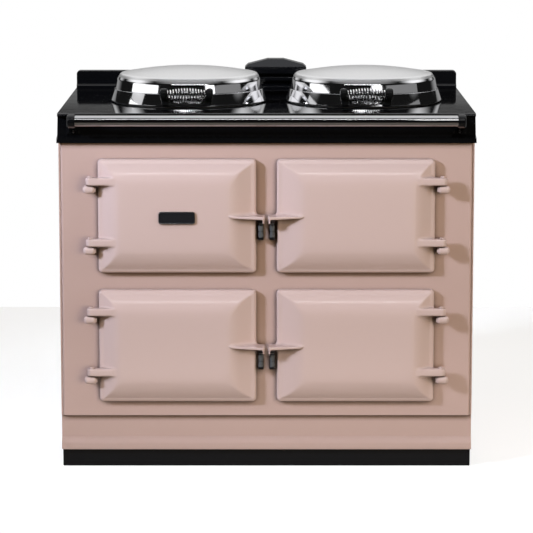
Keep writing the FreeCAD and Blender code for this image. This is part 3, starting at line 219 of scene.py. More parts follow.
def chrome(name="chrome", tint=(0.80, 0.80, 0.82)):
    """Polished chrome with the faint drag of a cloth in its gloss."""
    m = Shader(name, tint, metallic=1.0, roughness=0.06)
    m.gloss(m.noise(40.0, 4.0, 0.6, m.stretch((1.0, 9.0, 9.0))), 0.035, 0.11, high=0.75)
    m.bump(m.noise(18.0, 1.0, 0.4), 0.03, 0.0004)
    return m.material


def lid_steel():
    """Polished sides under a spun, brushed dome."""
    m = Shader("lid_steel", (0.74, 0.74, 0.75), metallic=1.0, roughness=0.2)
    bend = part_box("boiling_lid")[1].z - DOME_DROP
    dome = m.spread(m.axis("Z"), bend - BEND_HALF, bend + BEND_HALF)
    grain = m.noise(260.0, 3.0, 0.6, m.stretch((1.0, 0.16, 1.0)))
    polish = m.spread(m.noise(7.0, 3.0, 0.5), 0.3, 0.7, 0.045, 0.09)
    brushing = m.spread(grain, 0.25, 0.75, 0.27, 0.40)
    on_dome = m.math("MULTIPLY", dome, brushing)
    on_sides = m.math("MULTIPLY", m.math("SUBTRACT", 1.0, dome), polish)
    m.drive("Roughness", m.math("ADD", on_dome, on_sides))
    m.mottle(dome, (0.82, 0.82, 0.84), (0.70, 0.70, 0.705))
    m.bump(m.math("MULTIPLY", grain, dome), 0.05, 0.0002)
    return m.material


def cast_iron():
    m = Shader("cast_iron", (0.055, 0.052, 0.050), metallic=0.35, roughness=0.6)
    m.mottle(m.noise(9.0, 5.0, 0.6), (0.055, 0.052, 0.050), (0.09, 0.082, 0.075))
    m.gloss(m.noise(50.0, 5.0, 0.7), 0.45, 0.72)
    m.bump(m.noise(420.0, 3.0, 0.6), 0.35, 0.0004)
    return m.material


def hotplate_iron():
    """Ground cast iron, mottled by oil."""
    m = Shader("hotplate_iron", (0.13, 0.13, 0.13), metallic=0.85, roughness=0.4)
    m.mottle(m.noise(6.0, 4.0, 0.6), (0.10, 0.10, 0.10), (0.19, 0.185, 0.18))
    m.gloss(m.noise(30.0, 5.0, 0.7), 0.30, 0.52)
    m.bump(m.noise(500.0, 3.0, 0.6), 0.2, 0.0003)
    return m.material


def brushed(name, color, roughness):
    """Metal with a grain along X."""
    m = Shader(name, color, metallic=1.0, roughness=roughness)
    grain = m.noise(70.0, 4.0, 0.65, m.stretch((1.0, 14.0, 14.0)))
    m.gloss(grain, roughness - 0.09, roughness + 0.12, 0.25, 0.75)
    m.mottle(m.noise(5.0, 4.0, 0.6), color, tuple(0.82 * value for value in color))
    m.bump(grain, 0.08, 0.0002)
    return m.material


def galvanised():
    """Zinc spangle."""
    m = Shader("galvanised_steel", (0.46, 0.48, 0.50), metallic=0.9, roughness=0.45)
    spangle = m.cells(70.0)
    m.mottle(m.spread(spangle, 0.0, 0.9), (0.40, 0.42, 0.44), (0.58, 0.60, 0.62))
    m.gloss(spangle, 0.36, 0.58, 0.0, 0.9)
    m.bump(m.noise(220.0, 3.0), 0.06, 0.0002)
    return m.material


def plastic(name, color, roughness):
    m = Shader(name, color, roughness=roughness)
    m.gloss(m.noise(80.0, 4.0, 0.6), roughness - 0.05, roughness + 0.08)
    m.bump(m.noise(700.0, 2.0, 0.5), 0.10, 0.0002)
    return m.material


def painted(name, color, roughness):
    m = Shader(name, color, roughness=roughness, Coat_Weight=0.2, Coat_Roughness=0.2)
    m.gloss(m.noise(40.0, 4.0, 0.6), roughness - 0.06, roughness + 0.08)
    m.bump(m.noise(260.0, 2.0, 0.5), 0.10, 0.0003)
    return m.material


def grip_black():
    """Black lacquer on the handle castings, with a quiet gloss."""
    m = Shader("grip_black", (0.004, 0.004, 0.004), roughness=0.16, Specular_IOR_Level=0.16)
    m.gloss(m.noise(60.0, 4.0, 0.6), 0.12, 0.24)
    m.bump(m.noise(260.0, 2.0, 0.5), 0.06, 0.0002)
    return m.material


def mineral_wool():
    m = Shader("mineral_wool", (0.52, 0.45, 0.28), roughness=0.95)
    m.mottle(m.noise(60.0, 6.0, 0.7), (0.56, 0.49, 0.31), (0.40, 0.33, 0.19))
    m.bump(m.noise(180.0, 6.0, 0.75, m.stretch((1.0, 1.0, 5.0))), 0.8, 0.003)
    return m.material


def rope_seal():
    """Braided glass rope."""
    m = Shader("rope_seal", (0.22, 0.21, 0.19), roughness=0.9)
    wave = m.node("ShaderNodeTexWave", {"Vector": m.place, "Scale": 190.0, "Distortion": 2.5},
                  wave_type="BANDS", bands_direction="DIAGONAL")
    m.mottle(wave.outputs["Fac"], (0.16, 0.15, 0.135), (0.33, 0.31, 0.28))
    m.bump(wave.outputs["Fac"], 0.6, 0.0008)
    return m.material


def roller_steel():
    """Turned steel, mottled by old grease."""
    m = Shader("roller_steel", (0.18, 0.19, 0.20), metallic=0.45, roughness=0.34)
    grain = m.noise(90.0, 4.0, 0.6, m.stretch((1.0, 1.0, 12.0)))
    m.gloss(grain, 0.26, 0.44)
    m.mottle(m.noise(120.0, 3.0), (0.205, 0.215, 0.225), (0.10, 0.105, 0.11))
    m.bump(grain, 0.1, 0.0002)
    return m.material


def badge_finish():
    """A dark glossy field inside a bright rim, told apart by height above the door."""
    m = Shader("badge_black", (0.02, 0.02, 0.022), roughness=0.2)
    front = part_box("badge_plate")[0].y
    proud = m.spread(m.axis("Y"), front + BADGE_FIELD, front + BADGE_RIM)
    m.mottle(proud, (0.014, 0.014, 0.016), (0.75, 0.75, 0.77))
    m.drive("Metallic", proud)
    m.gloss(m.noise(60.0, 3.0), 0.14, 0.26)
    m.bump(m.noise(500.0, 2.0), 0.05, 0.0002)
    return m.material


FINISHES = {
    "pink_enamel": pink_enamel("pink_enamel", PINK, PINK_SHADE),
    "black_enamel": black_enamel(),
    "plinth_black": plinth_black(),
    "chrome": chrome(),
    "lid_steel": lid_steel(),
    "cast_iron": cast_iron(),
    "steel": brushed("steel", (0.40, 0.40, 0.41), 0.34),
    "galvanised_steel": galvanised(),
    "gland_plastic": plastic("gland_plastic", (0.03, 0.03, 0.032), 0.45),
    "element_steel": brushed("element_steel", (0.20, 0.18, 0.17), 0.45),
    "mineral_wool": mineral_wool(),
    "fascia_paint": painted("fascia_paint", (0.020, 0.020, 0.022), 0.40),
    "dark_plastic": plastic("dark_plastic", (0.025, 0.025, 0.028), 0.50),
    "knob_plastic": plastic("knob_plastic", (0.010, 0.010, 0.011), 0.22),
    "catch_dark": painted("catch_dark", (0.010, 0.010, 0.011), 0.35),
    "roller_steel": roller_steel(),
    "badge_black": badge_finish(),
    "liner_steel": brushed("liner_steel", (0.60, 0.60, 0.60), 0.30),
    "rope_seal": rope_seal(),
    "grip_black": grip_black(),
}
# Painted light: the lighter door enamel, also used on the hinge knuckles and pins
LIT_DOOR_ENAMEL = pink_enamel("lit_door_enamel", LIT_DOOR_PINK, LIT_DOOR_CLOUD_PINK)
# The side panels' enamel, without the painted shade in its corners
PANEL_ENAMEL = pink_enamel("panel_enamel", PINK, PINK_SHADE, corners=False)
HOTPLATE = hotplate_iron()
COIL_CHROME = chrome("coil_chrome", (0.86, 0.86, 0.87))
# Painted shade: a darker steel for the rollers' narrow necks
NECK_SHADE_STEEL = brushed("neck_shade_steel", (0.10, 0.11, 0.13), 0.40)
RAIL_CHROME = chrome("rail_chrome", (0.46, 0.46, 0.465))
SLOT_OF = {part["node"]: part["material_slot"] for part in frame["record"]["subparts"]}
BODIES = frame["record"]["behaviour"]["bodies"]
BODY_OF = {node: body for body, members in BODIES.items() for node in members}


def finish_nodes():
    """Every node takes its slot's finish, and the hotplates their own."""
    for name, piece in nodes.items():
        material = HOTPLATE if name.endswith("_hotplate") else FINISHES[SLOT_OF[name]]
        for index in range(len(piece.material_slots)):
            piece.material_slots[index].material = material


finish_nodes()


# Solids from fields: a field is negative inside, in millimetres

SMOOTHING_ROUNDS = 3
SLOPE_STEP = 0.05
LEAST_SLOPE, LONGEST_MOVE = 0.05, 1.5


def smooth_union(a, b, radius):
    """Joins two solids with a fillet."""
    share = np.maximum(radius - np.abs(a - b), 0.0) / radius
    return np.minimum(a, b) - share * share * radius * 0.25


def round_cut(a, b, radius):
    """What two solids share, with the edge between them rounded."""
    outside = np.hypot(np.maximum(a + radius, 0.0), np.maximum(b + radius, 0.0))
    return np.minimum(np.maximum(a, b), -radius) + outside


def field_box(p, low, high, radius):
    """A box with rounded edges."""
    parts = []
    for axis in range(3):
        middle, half = (low[axis] + high[axis]) / 2, (high[axis] - low[axis]) / 2
        parts.append(np.abs(p[axis] - middle) - half + radius)
    outside = np.sqrt(sum(np.maximum(part, 0.0) ** 2 for part in parts))
    deepest = np.maximum(np.maximum(parts[0], parts[1]), parts[2])
    return outside + np.minimum(deepest, 0.0) - radius


def field_rod(p, axis, centre, radius, low, high, edge):
    """A round bar along an axis, with rounded rims."""
    others = [k for k in range(3) if k != axis]
    round_part = np.hypot(p[others[0]] - centre[0], p[others[1]] - centre[1]) - radius
    end_part = np.abs(p[axis] - (low + high) / 2) - (high - low) / 2
    return round_cut(round_part, end_part, edge)


def field_plate(u, v, middle, half, radius):
    """A rounded rectangle in a plane."""
    a = np.abs(u - middle[0]) - half[0] + radius
    b = np.abs(v - middle[1]) - half[1] + radius
    return np.hypot(np.maximum(a, 0.0), np.maximum(b, 0.0)) + np.minimum(np.maximum(a, b), 0.0) - radius


def field_polygon(u, v, points):
    """The signed distance to a plane outline with straight sides."""
    least = np.full(np.broadcast(u, v).shape, np.inf)
    sign = np.ones_like(least)
    for number, (bu, bv) in enumerate(points):
        au, av = points[number - 1]
        eu, ev = bu - au, bv - av
        wu, wv = u - au, v - av
        share = np.clip((wu * eu + wv * ev) / (eu * eu + ev * ev), 0.0, 1.0)
        least = np.minimum(least, (wu - eu * share) ** 2 + (wv - ev * share) ** 2)
        above, below = v >= av, v < bv
        left = eu * wv > ev * wu
        sign = np.where((above & below & left) | (~above & ~below & ~left), -sign, sign)
    return sign * np.sqrt(least)


def gradient(field, points):
    """The slope of a field at points."""
    slope = np.empty_like(points)
    for axis in range(3):
        step = np.zeros(3)
        step[axis] = SLOPE_STEP
        ahead = field((points + step).T)
        behind = field((points - step).T)
        slope[:, axis] = (ahead - behind) / (2 * SLOPE_STEP)
    return slope


def window(grid, start, size):
    """The part of a grid that begins at a corner and has a given size."""
    return grid[tuple(slice(first, first + count) for first, count in zip(start, size))]


def crossings(values):
    """For every cell, the sum of the places where its edges cross the surface, and their number."""
    size = [count - 1 for count in values.shape]
    total = np.zeros(size + [3])
    number = np.zeros(size)
    for axis, corner in itertools.product(range(3), itertools.product((0, 1), repeat=3)):
        if corner[axis]:
            continue
        end = [place + (k == axis) for k, place in enumerate(corner)]
        a, b = window(values, corner, size), window(values, end, size)
        crosses = (a < 0) != (b < 0)
        share = np.where(crosses, a / np.where(crosses, a - b, 1.0), 0.0)
        number += crosses
        for k in range(3):
            total[..., k] += share if k == axis else crosses * corner[k]
    return total, number


def quads_between(inside, index):
    """A quad of four cells around every edge of the grid that crosses the surface, facing out."""
    quads = []
    for axis in range(3):
        along, u, v = (np.roll((1, 0, 0), axis + k) for k in range(3))
        start = 1 - along
        size = np.array(inside.shape) - 1 - start
        a, b = window(inside, start, size), window(inside, start + along, size)
        places = np.argwhere(a != b)
        out = a[tuple(places.T)]
        places += start
        around = np.stack([index[tuple((places - back).T)] for back in (u + v, v, 0 * v, u)], axis=1)
        around[~out] = around[~out][:, ::-1]
        quads.append(around)
    return np.concatenate(quads)


def relaxed(field, points, quads):
    """The points evened out over their neighbours, and held on the surface."""
    links = np.concatenate([quads[:, [k, (k + 1) % 4]] for k in range(4)])
    links = np.concatenate([links, links[:, ::-1]])
    for _ in range(SMOOTHING_ROUNDS):
        total = np.zeros_like(points)
        count = np.zeros(len(points))
        np.add.at(total, links[:, 0], points[links[:, 1]])
        np.add.at(count, links[:, 0], 1)
        points = settle(field, 0.5 * points + 0.5 * total / count[:, None])
    return settle(field, points)


def surface_of(field, low, high, step):
    """Points, quads and normals of the surface where a field is zero."""
    counts = [int(math.ceil((h - l) / step)) + 1 for l, h in zip(low, high)]
    ticks = [l + step * np.arange(n) for l, n in zip(low, counts)]
    values = np.broadcast_to(field(np.meshgrid(*ticks, indexing="ij", sparse=True)), counts)
    total, number = crossings(values)
    used = number > 0
    index = np.full(used.shape, -1)
    index[used] = np.arange(used.sum())
    points = np.argwhere(used) + total[used] / number[used][:, None]
    quads = quads_between(values < 0, index)
    points = relaxed(field, np.array(low) + points * step, quads)
    normals = gradient(field, points)
    normals /= np.linalg.norm(normals, axis=1)[:, None]
    return points, quads, normals


def settle(field, points):
    """Moves points onto the surface along the field's slope."""
    slope = gradient(field, points)
    size = np.maximum((slope ** 2).sum(axis=1), LEAST_SLOPE)
    move = field(points.T)[:, None] * slope / size[:, None]
    length = np.linalg.norm(move, axis=1)[:, None]
    return points - move * np.minimum(1.0, LONGEST_MOVE / np.maximum(length, 1e-9))


def new_object(name, mesh):
    piece = bpy.data.objects.new(name, mesh)
    bpy.context.scene.collection.objects.link(piece)
    return piece


def assign(piece, body, replaced):
    """Puts a piece on its body, in place of the nodes that it stands for."""
    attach(piece, body)
    if replaced:
        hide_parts(*replaced)


def add_piece(name, surface, material, body, replaced):
    """A smooth piece from points in millimetres, quads and normals, put on its body."""
    points, quads, normals = surface
    mesh = bpy.data.meshes.new(name)
    mesh.from_pydata((points * MM).tolist(), [], quads.tolist())
    mesh.materials.append(material)
    mesh.polygons.foreach_set("use_smooth", np.ones(len(mesh.polygons), dtype=bool))
    mesh.normals_split_custom_set_from_vertices(normals.tolist())
    assign(new_object(name, mesh), body, replaced)


def moved(surface, shift):
    points, quads, normals = surface
    return points + np.array(shift), quads, normals


def mirror_x(points, quads, normals):
    """The same surface on the other side of the middle plane."""
    flip = np.array([-1.0, 1.0, 1.0])
    return points * flip, quads[:, ::-1], normals * flip


# The doors: a crowned slab with a fin handle and two hinge lugs, drawn on the right about z = 0

DOOR_IN, DOOR_OUT, DOOR_HALF = 24.0, 397.0, 135.0
DOOR_BACK = -313.0
DOOR_RIM, DOOR_DEPTH = 19.0, 44.0
DOOR_CORNER, RIM_ROUNDING = 10.0, 8.0
CROWN_RADIUS, CROWN_LIMIT = 97.0, 80.0
CROWN_REACH, BEVEL_REACH, HANDLE_REACH = 73.0, 46.0, 62.0
BEVEL_DROP, BEVEL_RUN, HANDLE_RUN = 25.0, 38.0, 54.0
PILLOW_SLOPE, PILLOW_INSET = 1.15, 4.0
BLADE_PLAN = (
    (84.0, 43.0), (66.0, 46.5), (36.0, 51.5), (13.0, 57.0), (4.0, 57.0), (4.0, 12.0), (56.0, 12.0))
BLADE_ROOT, BLADE_TAPER = 84.0, 50.0
BLADE_HALF, BLADE_SWELL = 2.0, 1.5
NOSE = ((4.0, 32.0, -13.5), (9.0, 57.0, 3.0))
HANDLE_MIDDLE, HANDLE_HALF, HANDLE_CORNER = (54.0, 27.0), (50.0, 30.0), 7.0
HINGE_X, HINGE_Y = 414.0, -342.0
LUG_BOTTOMS = (75.0, -70.0)
LUG_HEIGHT, LUG_RADIUS, LUG_ROOT = 18.0, 10.5, 352.0
PIN_HOLE = 4.2
POCKET = ((38.5, -9.0, -120.5), (382.5, 10.0, 120.5))
CORE = ((104.0, 0.0, -69.0), (317.0, 30.0, 69.0))
SEAL_HALF, SEAL_CORNER = (178.5, 131.0), 16.5
SEAL_WIDTH, SEAL_DEPTH = 5.0, 5.0
FULL_STEP, QUICK_STEP = 2.3, 3.4
ROWS = {"upper": 609.5, "lower": 299.0}


def crown(s):
    """The height of the crown at a distance from an edge."""
    inward = np.clip(CROWN_REACH - s, 0.0, CROWN_LIMIT)
    return DOOR_DEPTH - (CROWN_RADIUS - np.sqrt(CROWN_RADIUS ** 2 - inward ** 2))


def soft_least(values, radius):
    """The least of several heights, with the creases between them eased."""
    least = values[0]
    for value in values[1:]:
        least = smooth_union(least, value, radius)
    return least


def door_height(x, z):
    """How far the front stands off the door's back: curved above and below, bevelled at the sides."""
    outer = DOOR_DEPTH - (BEVEL_REACH - (DOOR_OUT - x)) * BEVEL_DROP / BEVEL_RUN
    inner = DOOR_DEPTH - (HANDLE_REACH - (x - DOOR_IN)) * BEVEL_DROP / HANDLE_RUN
    outer, inner = smooth_union(outer, DOOR_DEPTH, 12.0), smooth_union(inner, DOOR_DEPTH, 10.0)
    height = soft_least([inner, outer, crown(z + DOOR_HALF), crown(DOOR_HALF - z)], 3.0)
    return smooth_union(height, DOOR_DEPTH, 2.0)


def handle_field(x, d, z):
    """The handle's fin, and the nose at its tip that meets the catch roller."""
    half_thick = BLADE_HALF + BLADE_SWELL * np.clip((BLADE_ROOT - x) / BLADE_TAPER, 0.0, 1.0)
    blade = round_cut(field_polygon(x, d, BLADE_PLAN), np.abs(z) - half_thick, 1.9)
    nose = field_box((x, d, z), *NOSE, 2.3)
    limit = field_plate(x, d, HANDLE_MIDDLE, HANDLE_HALF, HANDLE_CORNER)
    return smooth_union(np.maximum(blade, limit), np.maximum(nose, limit), 4.0)


def lug_field(x, y, z, bottom):
    """A hinge lug: a round-ended bar that reaches out past its pin."""
    tip = HINGE_X + LUG_RADIUS
    bar = field_plate(x, y, ((LUG_ROOT + tip) / 2, HINGE_Y), ((tip - LUG_ROOT) / 2, LUG_RADIUS), LUG_RADIUS)
    level = np.abs(z - bottom - LUG_HEIGHT / 2) - LUG_HEIGHT / 2
    return round_cut(bar, level, 4.0)


def door_field(p, with_seal):
    """A door with its handle and lugs, hollowed behind for its plug and grooved for its seal."""
    x, y, z = p
    d = DOOR_BACK - y
    middle = ((DOOR_IN + DOOR_OUT) / 2, 0.0)
    half = ((DOOR_OUT - DOOR_IN) / 2, DOOR_HALF)
    outline = field_plate(x, z, middle, half, DOOR_CORNER)
    slab = round_cut(outline, d - DOOR_RIM, RIM_ROUNDING)
    pillow = np.maximum((d - door_height(x, z)) / PILLOW_SLOPE, outline + PILLOW_INSET)
    body = smooth_union(slab, pillow, 3.5)
    fillet = 2.6 + 7.0 * np.clip((z + 1.5) / 4.0, 0.0, 1.0)
    body = smooth_union(body, handle_field(x, d, z), fillet)
    for bottom in LUG_BOTTOMS:
        body = smooth_union(body, lug_field(x, y, z, bottom), 6.0)
    body = round_cut(body, -d, 1.0)
    for low, high in (POCKET, CORE):
        body = np.maximum(body, -field_box((x, d, z), low, high, 3.0))
    if with_seal:
        ring = np.abs(field_plate(x, z, middle, SEAL_HALF, SEAL_CORNER)) - SEAL_WIDTH / 2
        body = np.maximum(body, -np.maximum(ring, d - SEAL_DEPTH))
    for bottom in LUG_BOTTOMS:
        hole = np.hypot(x - HINGE_X, y - HINGE_Y) - PIN_HOLE
        level = np.abs(z - bottom - LUG_HEIGHT / 2) - LUG_HEIGHT
        body = np.maximum(body, -np.maximum(hole, level))
    return body


def make_doors():
    """Four doors from two surfaces. The upper left one has no oven behind it, so it has no seal."""
    step = FULL_STEP
    low, high = (-4.0, -378.0, -141.0), (431.0, -306.0, 141.0)
    for with_seal in (False, True):
        surface = surface_of(lambda p: door_field(p, with_seal), low, high, step)
        for row, middle in ROWS.items():
            for hand in ("left", "right"):
                place = "%s_%s" % (row, hand)
                if (place != "upper_left") != with_seal:
                    continue
                door = mirror_x(*surface) if hand == "left" else surface
                add_piece(place + "_door_casting", moved(door, (0.0, 0.0, middle)), LIT_DOOR_ENAMEL,
                          place + "_door", [place + "_door"])


make_doors()


# Turned, wound and softened pieces

ARC_STEPS = 6
BEVEL_SEGMENTS, BEVEL_ANGLE = 3, math.radians(32.0)
WELD, NODE_WELD, FLAT = 1e-6, 2e-6, math.radians(0.5)


def turned(profile, rings=128):
    """Points and quads of an outline of (radius, height) pairs turned about the Z axis."""
    angles = np.linspace(0.0, 2.0 * np.pi, rings, endpoint=False)
    points = np.array([
        (radius * math.cos(a), radius * math.sin(a), height) for radius, height in profile for a in angles])
    quads = []
    for level in range(len(profile) - 1):
        for k in range(rings):
            after = (k + 1) % rings
            quads.append((level * rings + k, level * rings + after,
                          (level + 1) * rings + after, (level + 1) * rings + k))
    return points, quads


def rounded_profile(corners):
    """An outline of (radius, height, rounding) corners, each rounded by a short curve."""
    outline = []
    for number, (r, h, rounding) in enumerate(corners):
        here = np.array((r, h))
        if number in (0, len(corners) - 1) or rounding == 0.0:
            outline.append((r, h))
            continue
        before = np.array(corners[number - 1][:2]) - here
        after = np.array(corners[number + 1][:2]) - here
        before /= np.linalg.norm(before)
        after /= np.linalg.norm(after)
        half = math.acos(max(-1.0, min(1.0, float(before @ after)))) / 2
        reach = rounding / math.tan(half)
        a, b = here + before * reach, here + after * reach
        for step in range(ARC_STEPS + 1):
            t = step / ARC_STEPS
            outline.append(tuple((1 - t) ** 2 * a + 2 * t * (1 - t) * here + t * t * b))
    return outline


def tube_along(path, radius, sides):
    """Points and faces of a closed round tube along a path, its frame carried without twist."""
    path = np.asarray(path, dtype=float)
    ways = np.gradient(path, axis=0)
    ways /= np.linalg.norm(ways, axis=1)[:, None]
    side = np.cross(ways[0], (0.0, 0.0, 1.0))
    if np.linalg.norm(side) < 0.1:
        side = np.cross(ways[0], (0.0, 1.0, 0.0))
    points = []
    for place, way in zip(path, ways):
        side = side - way * (side @ way)
        side /= np.linalg.norm(side)
        other = np.cross(way, side)
        for k in range(sides):
            a = 2.0 * math.pi * k / sides
            points.append(place + radius * (math.cos(a) * side + math.sin(a) * other))
    faces = [tuple(range(sides - 1, -1, -1))]
    for ring in range(len(path) - 1):
        for k in range(sides):
            after = (k + 1) % sides
            faces.append((ring * sides + k, ring * sides + after,
                          (ring + 1) * sides + after, (ring + 1) * sides + k))
    faces.append(tuple(range((len(path) - 1) * sides, len(path) * sides)))
    return np.array(points), faces


def add_mesh(name, shapes, materials, body, replaced=(), crease=35.0):
    """A piece from several (points, faces, material number) shapes in millimetres."""
    every_point, every_face, numbers = [], [], []
    for points, faces, number in shapes:
        offset = len(every_point)
        every_point += (np.asarray(points) * MM).tolist()
        every_face += [[int(corner) + offset for corner in face] for face in faces]
        numbers += [number] * len(faces)
    mesh = bpy.data.meshes.new(name)
    mesh.from_pydata(every_point, [], every_face)
    for material in materials:
        mesh.materials.append(material)
    mesh.polygons.foreach_set("material_index", numbers)
    solid = bmesh.new()
    solid.from_mesh(mesh)
    bmesh.ops.remove_doubles(solid, verts=solid.verts, dist=WELD)
    bmesh.ops.recalc_face_normals(solid, faces=solid.faces)
    solid.to_mesh(mesh)
    solid.free()
    mesh.shade_smooth()
    mesh.set_sharp_from_angle(angle=math.radians(crease))
    assign(new_object(name, mesh), body, replaced)


def softened(node, width):
    """A node with its sharp edges broken, which stands for the node."""
    mesh = nodes[node].data.copy()
    solid = bmesh.new()
    solid.from_mesh(mesh)
    bmesh.ops.remove_doubles(solid, verts=solid.verts, dist=NODE_WELD)
    bmesh.ops.dissolve_limit(solid, angle_limit=FLAT, verts=solid.verts, edges=solid.edges)
    solid.to_mesh(mesh)
    solid.free()
    mesh.shade_smooth()
    piece = new_object(node + "_softened", mesh)
    bevel = piece.modifiers.new("edges", "BEVEL")
    bevel.width = width * MM
    bevel.segments = BEVEL_SEGMENTS
    bevel.limit_method = "ANGLE"
    bevel.angle_limit = BEVEL_ANGLE
    bevel.use_clamp_overlap = True
    weighted = piece.modifiers.new("flat faces", "WEIGHTED_NORMAL")
    weighted.mode = "FACE_AREA"
    weighted.weight = 100
    graph = bpy.context.evaluated_depsgraph_get()
    finished = bpy.data.meshes.new_from_object(piece.evaluated_get(graph))
    piece.modifiers.clear()
    piece.data = finished
    assign(piece, BODY_OF[node], [node])
    return piece


# The lids, each with its mount and coil, drawn about X zero

LIDS = {"boiling": -190.7, "simmering": 238.7}
LID_BASE, LID_SEAM, LID_APEX = 854.0, 884.0, 936.0
DOME_RADIUS, DOME_EDGE = 836.0, 150.0
SEAM_RADIUS = 180.2
GRIP_Y, GRIP_Z = -212.0, 887.0
COIL_END_X, COIL_TURNS, COIL_WIRE = 54.0, 14, 1.6
COIL_RADIUS, COIL_SWELL = 6.9, 5.5
COIL_TAIL, TAIL_LENGTH, TAIL_RISE = 7.0, 6.6, 3.0
STEPS_A_TURN, TAIL_STEPS = 26, 7
LUG_MIDDLE, LUG_HALF = 55.0, 8.0
KNOB_RADIUS, CUP_RADIUS, ROD_RADIUS = 13.0, 10.4, 3.5
WALL_HEIGHTS = (LID_BASE - 4.0, LID_BASE + 1.4, LID_SEAM - 2.0, LID_SEAM, 905.5, 913.0, 920.0)
WALL_RADII = (191.8, 191.5, 182.9, 180.5, 176.3, 170.5, 160.0)
WALL_GAP = 0.4


def lid_outline():
    """The lid from its apex to its rim, and back inside its lip."""
    dome = [(r, LID_APEX - (DOME_RADIUS - math.sqrt(DOME_RADIUS ** 2 - r * r)))
            for r in np.linspace(0.01, DOME_EDGE, 26)]
    shoulder = rounded_profile([
        (DOME_EDGE, dome[-1][1], 0.0), (167.5, 920.0, 9.0),
        (176.2, 905.5, 14.0), (SEAM_RADIUS, LID_SEAM, 0.0)])
    seam = rounded_profile([
        (SEAM_RADIUS, LID_SEAM, 0.0), (179.4, LID_SEAM - 0.5, 0.2), (179.6, LID_SEAM - 1.4, 0.2),
        (182.6, LID_SEAM - 2.0, 0.5), (191.2, LID_BASE + 1.4, 0.9), (191.0, LID_BASE, 0.5),
        (188.0, LID_BASE, 0.8), (187.0, LID_BASE + 6.0, 0.0)])
    return dome + shoulder[1:] + seam[1:]


def coil_path():
    """A helix that is widest in its middle, with its ends laid along the rod."""
    half_run = COIL_END_X - COIL_TAIL
    steps = COIL_TURNS * STEPS_A_TURN
    path = []
    for step in range(steps + 1):
        along = step / steps
        radius = COIL_RADIUS + COIL_SWELL * math.sin(math.pi * along)
        angle = 2.0 * math.pi * COIL_TURNS * along
        path.append((half_run * (2.0 * along - 1.0), GRIP_Y + radius * math.cos(angle),
                     GRIP_Z + radius * math.sin(angle)))
    tails = []
    for side in (-1, 1):
        tails.append([(side * (half_run + TAIL_LENGTH * t * (2.0 - t)), GRIP_Y + COIL_RADIUS,
                       GRIP_Z + side * TAIL_RISE * (1.0 - (1.0 - t) ** 2))
                      for t in np.linspace(0.0, 1.0, TAIL_STEPS)[1:]])
    return tails[0][::-1] + path + tails[1]


def mount_field(p):
    """Two castings on a lid's side, each a cupped knob on an arm and a foot, and their rod."""
    x, y, z = p
    across = np.abs(x)
    from_rod = np.hypot(y - GRIP_Y, z - GRIP_Z)
    knob = round_cut(from_rod - KNOB_RADIUS, np.abs(across - LUG_MIDDLE) - LUG_HALF, 4.5)
    arm = field_box((across, y, z), (49.0, GRIP_Y, 872.0), (61.0, -140.0, 897.0), 5.0)
    foot = field_box((across, y, z), (42.0, -199.0, 856.5), (60.0, -140.0, 880.0), 4.5)
    body = smooth_union(smooth_union(knob, arm, 5.0), foot, 9.0)
    body = np.maximum(body, -np.maximum(from_rod - CUP_RADIUS, across - COIL_END_X))
    body = np.minimum(body, np.maximum(from_rod - ROD_RADIUS, across - COIL_END_X - 1.0))
    wall = np.interp(z, WALL_HEIGHTS, WALL_RADII)
    return np.maximum(body, wall - WALL_GAP - np.hypot(x, y))


def make_lids():
    points, quads = turned(lid_outline(), 180)
    coil, coil_faces = tube_along(coil_path(), COIL_WIRE, 10)
    casting = surface_of(mount_field, (-68.0, -230.0, 852.0), (68.0, -158.0, 914.0), 1.1)
    for name, x in LIDS.items():
        lid = name + "_lid"
        shift = np.array((x, 0.0, 0.0))
        add_mesh(lid + "_cover", [(points + shift, quads, 0)], [FINISHES["lid_steel"]], lid,
                 [lid], 40.0)
        add_mesh(lid + "_coil", [(coil + shift, coil_faces, 0)], [COIL_CHROME], lid,
                 [lid + "_handle_coil"])
        add_piece(lid + "_mount", moved(casting, shift), FINISHES["grip_black"], lid,
                  [lid + "_handle_mount"])


# The handrail and its brackets

RAIL_Y, RAIL_Z, RAIL_RADIUS = -363.0, 838.0, 12.75
RAIL_END, RAIL_WALL = 458.0, 1.5
HEAD_IN, HEAD_OUT, HEAD_RADIUS = 445.0, 464.0, 15.0
RECESS_FACE, LEDGE = -298.0, 799.0
ROOT_FLARE = 8.0
NECK_PROFILE = (
    (RAIL_Y, 823.5), (-305.0, 806.0), (-292.0, 804.0), (-292.0, 833.0), (-322.0, 836.5), (-345.0, 848.0),
    (RAIL_Y, 850.0))


def bracket_field(p):
    """A rail bracket on the right: a round head on a neck that flares into its root."""
    x, y, z = p
    middle = (HEAD_IN + HEAD_OUT) / 2
    half = (HEAD_OUT - HEAD_IN) / 2
    head = field_rod(p, 0, (RAIL_Y, RAIL_Z), HEAD_RADIUS, HEAD_IN, HEAD_OUT, 4.0)
    neck = round_cut(field_polygon(y, z, NECK_PROFILE), np.abs(x - middle) - half, 4.0)
    root = field_box(p, (HEAD_IN - ROOT_FLARE, RECESS_FACE - 6.5, LEDGE + 0.2),
                     (HEAD_OUT + ROOT_FLARE, -290.0, 835.5), 4.0)
    body = smooth_union(smooth_union(head, neck, 7.0), root, 10.0)
    body = np.maximum(body, y - RECESS_FACE)
    socket = np.maximum(np.hypot(y - RAIL_Y, z - RAIL_Z) - RAIL_RADIUS - 0.25, x - RAIL_END - 0.3)
    return np.maximum(body, -socket)


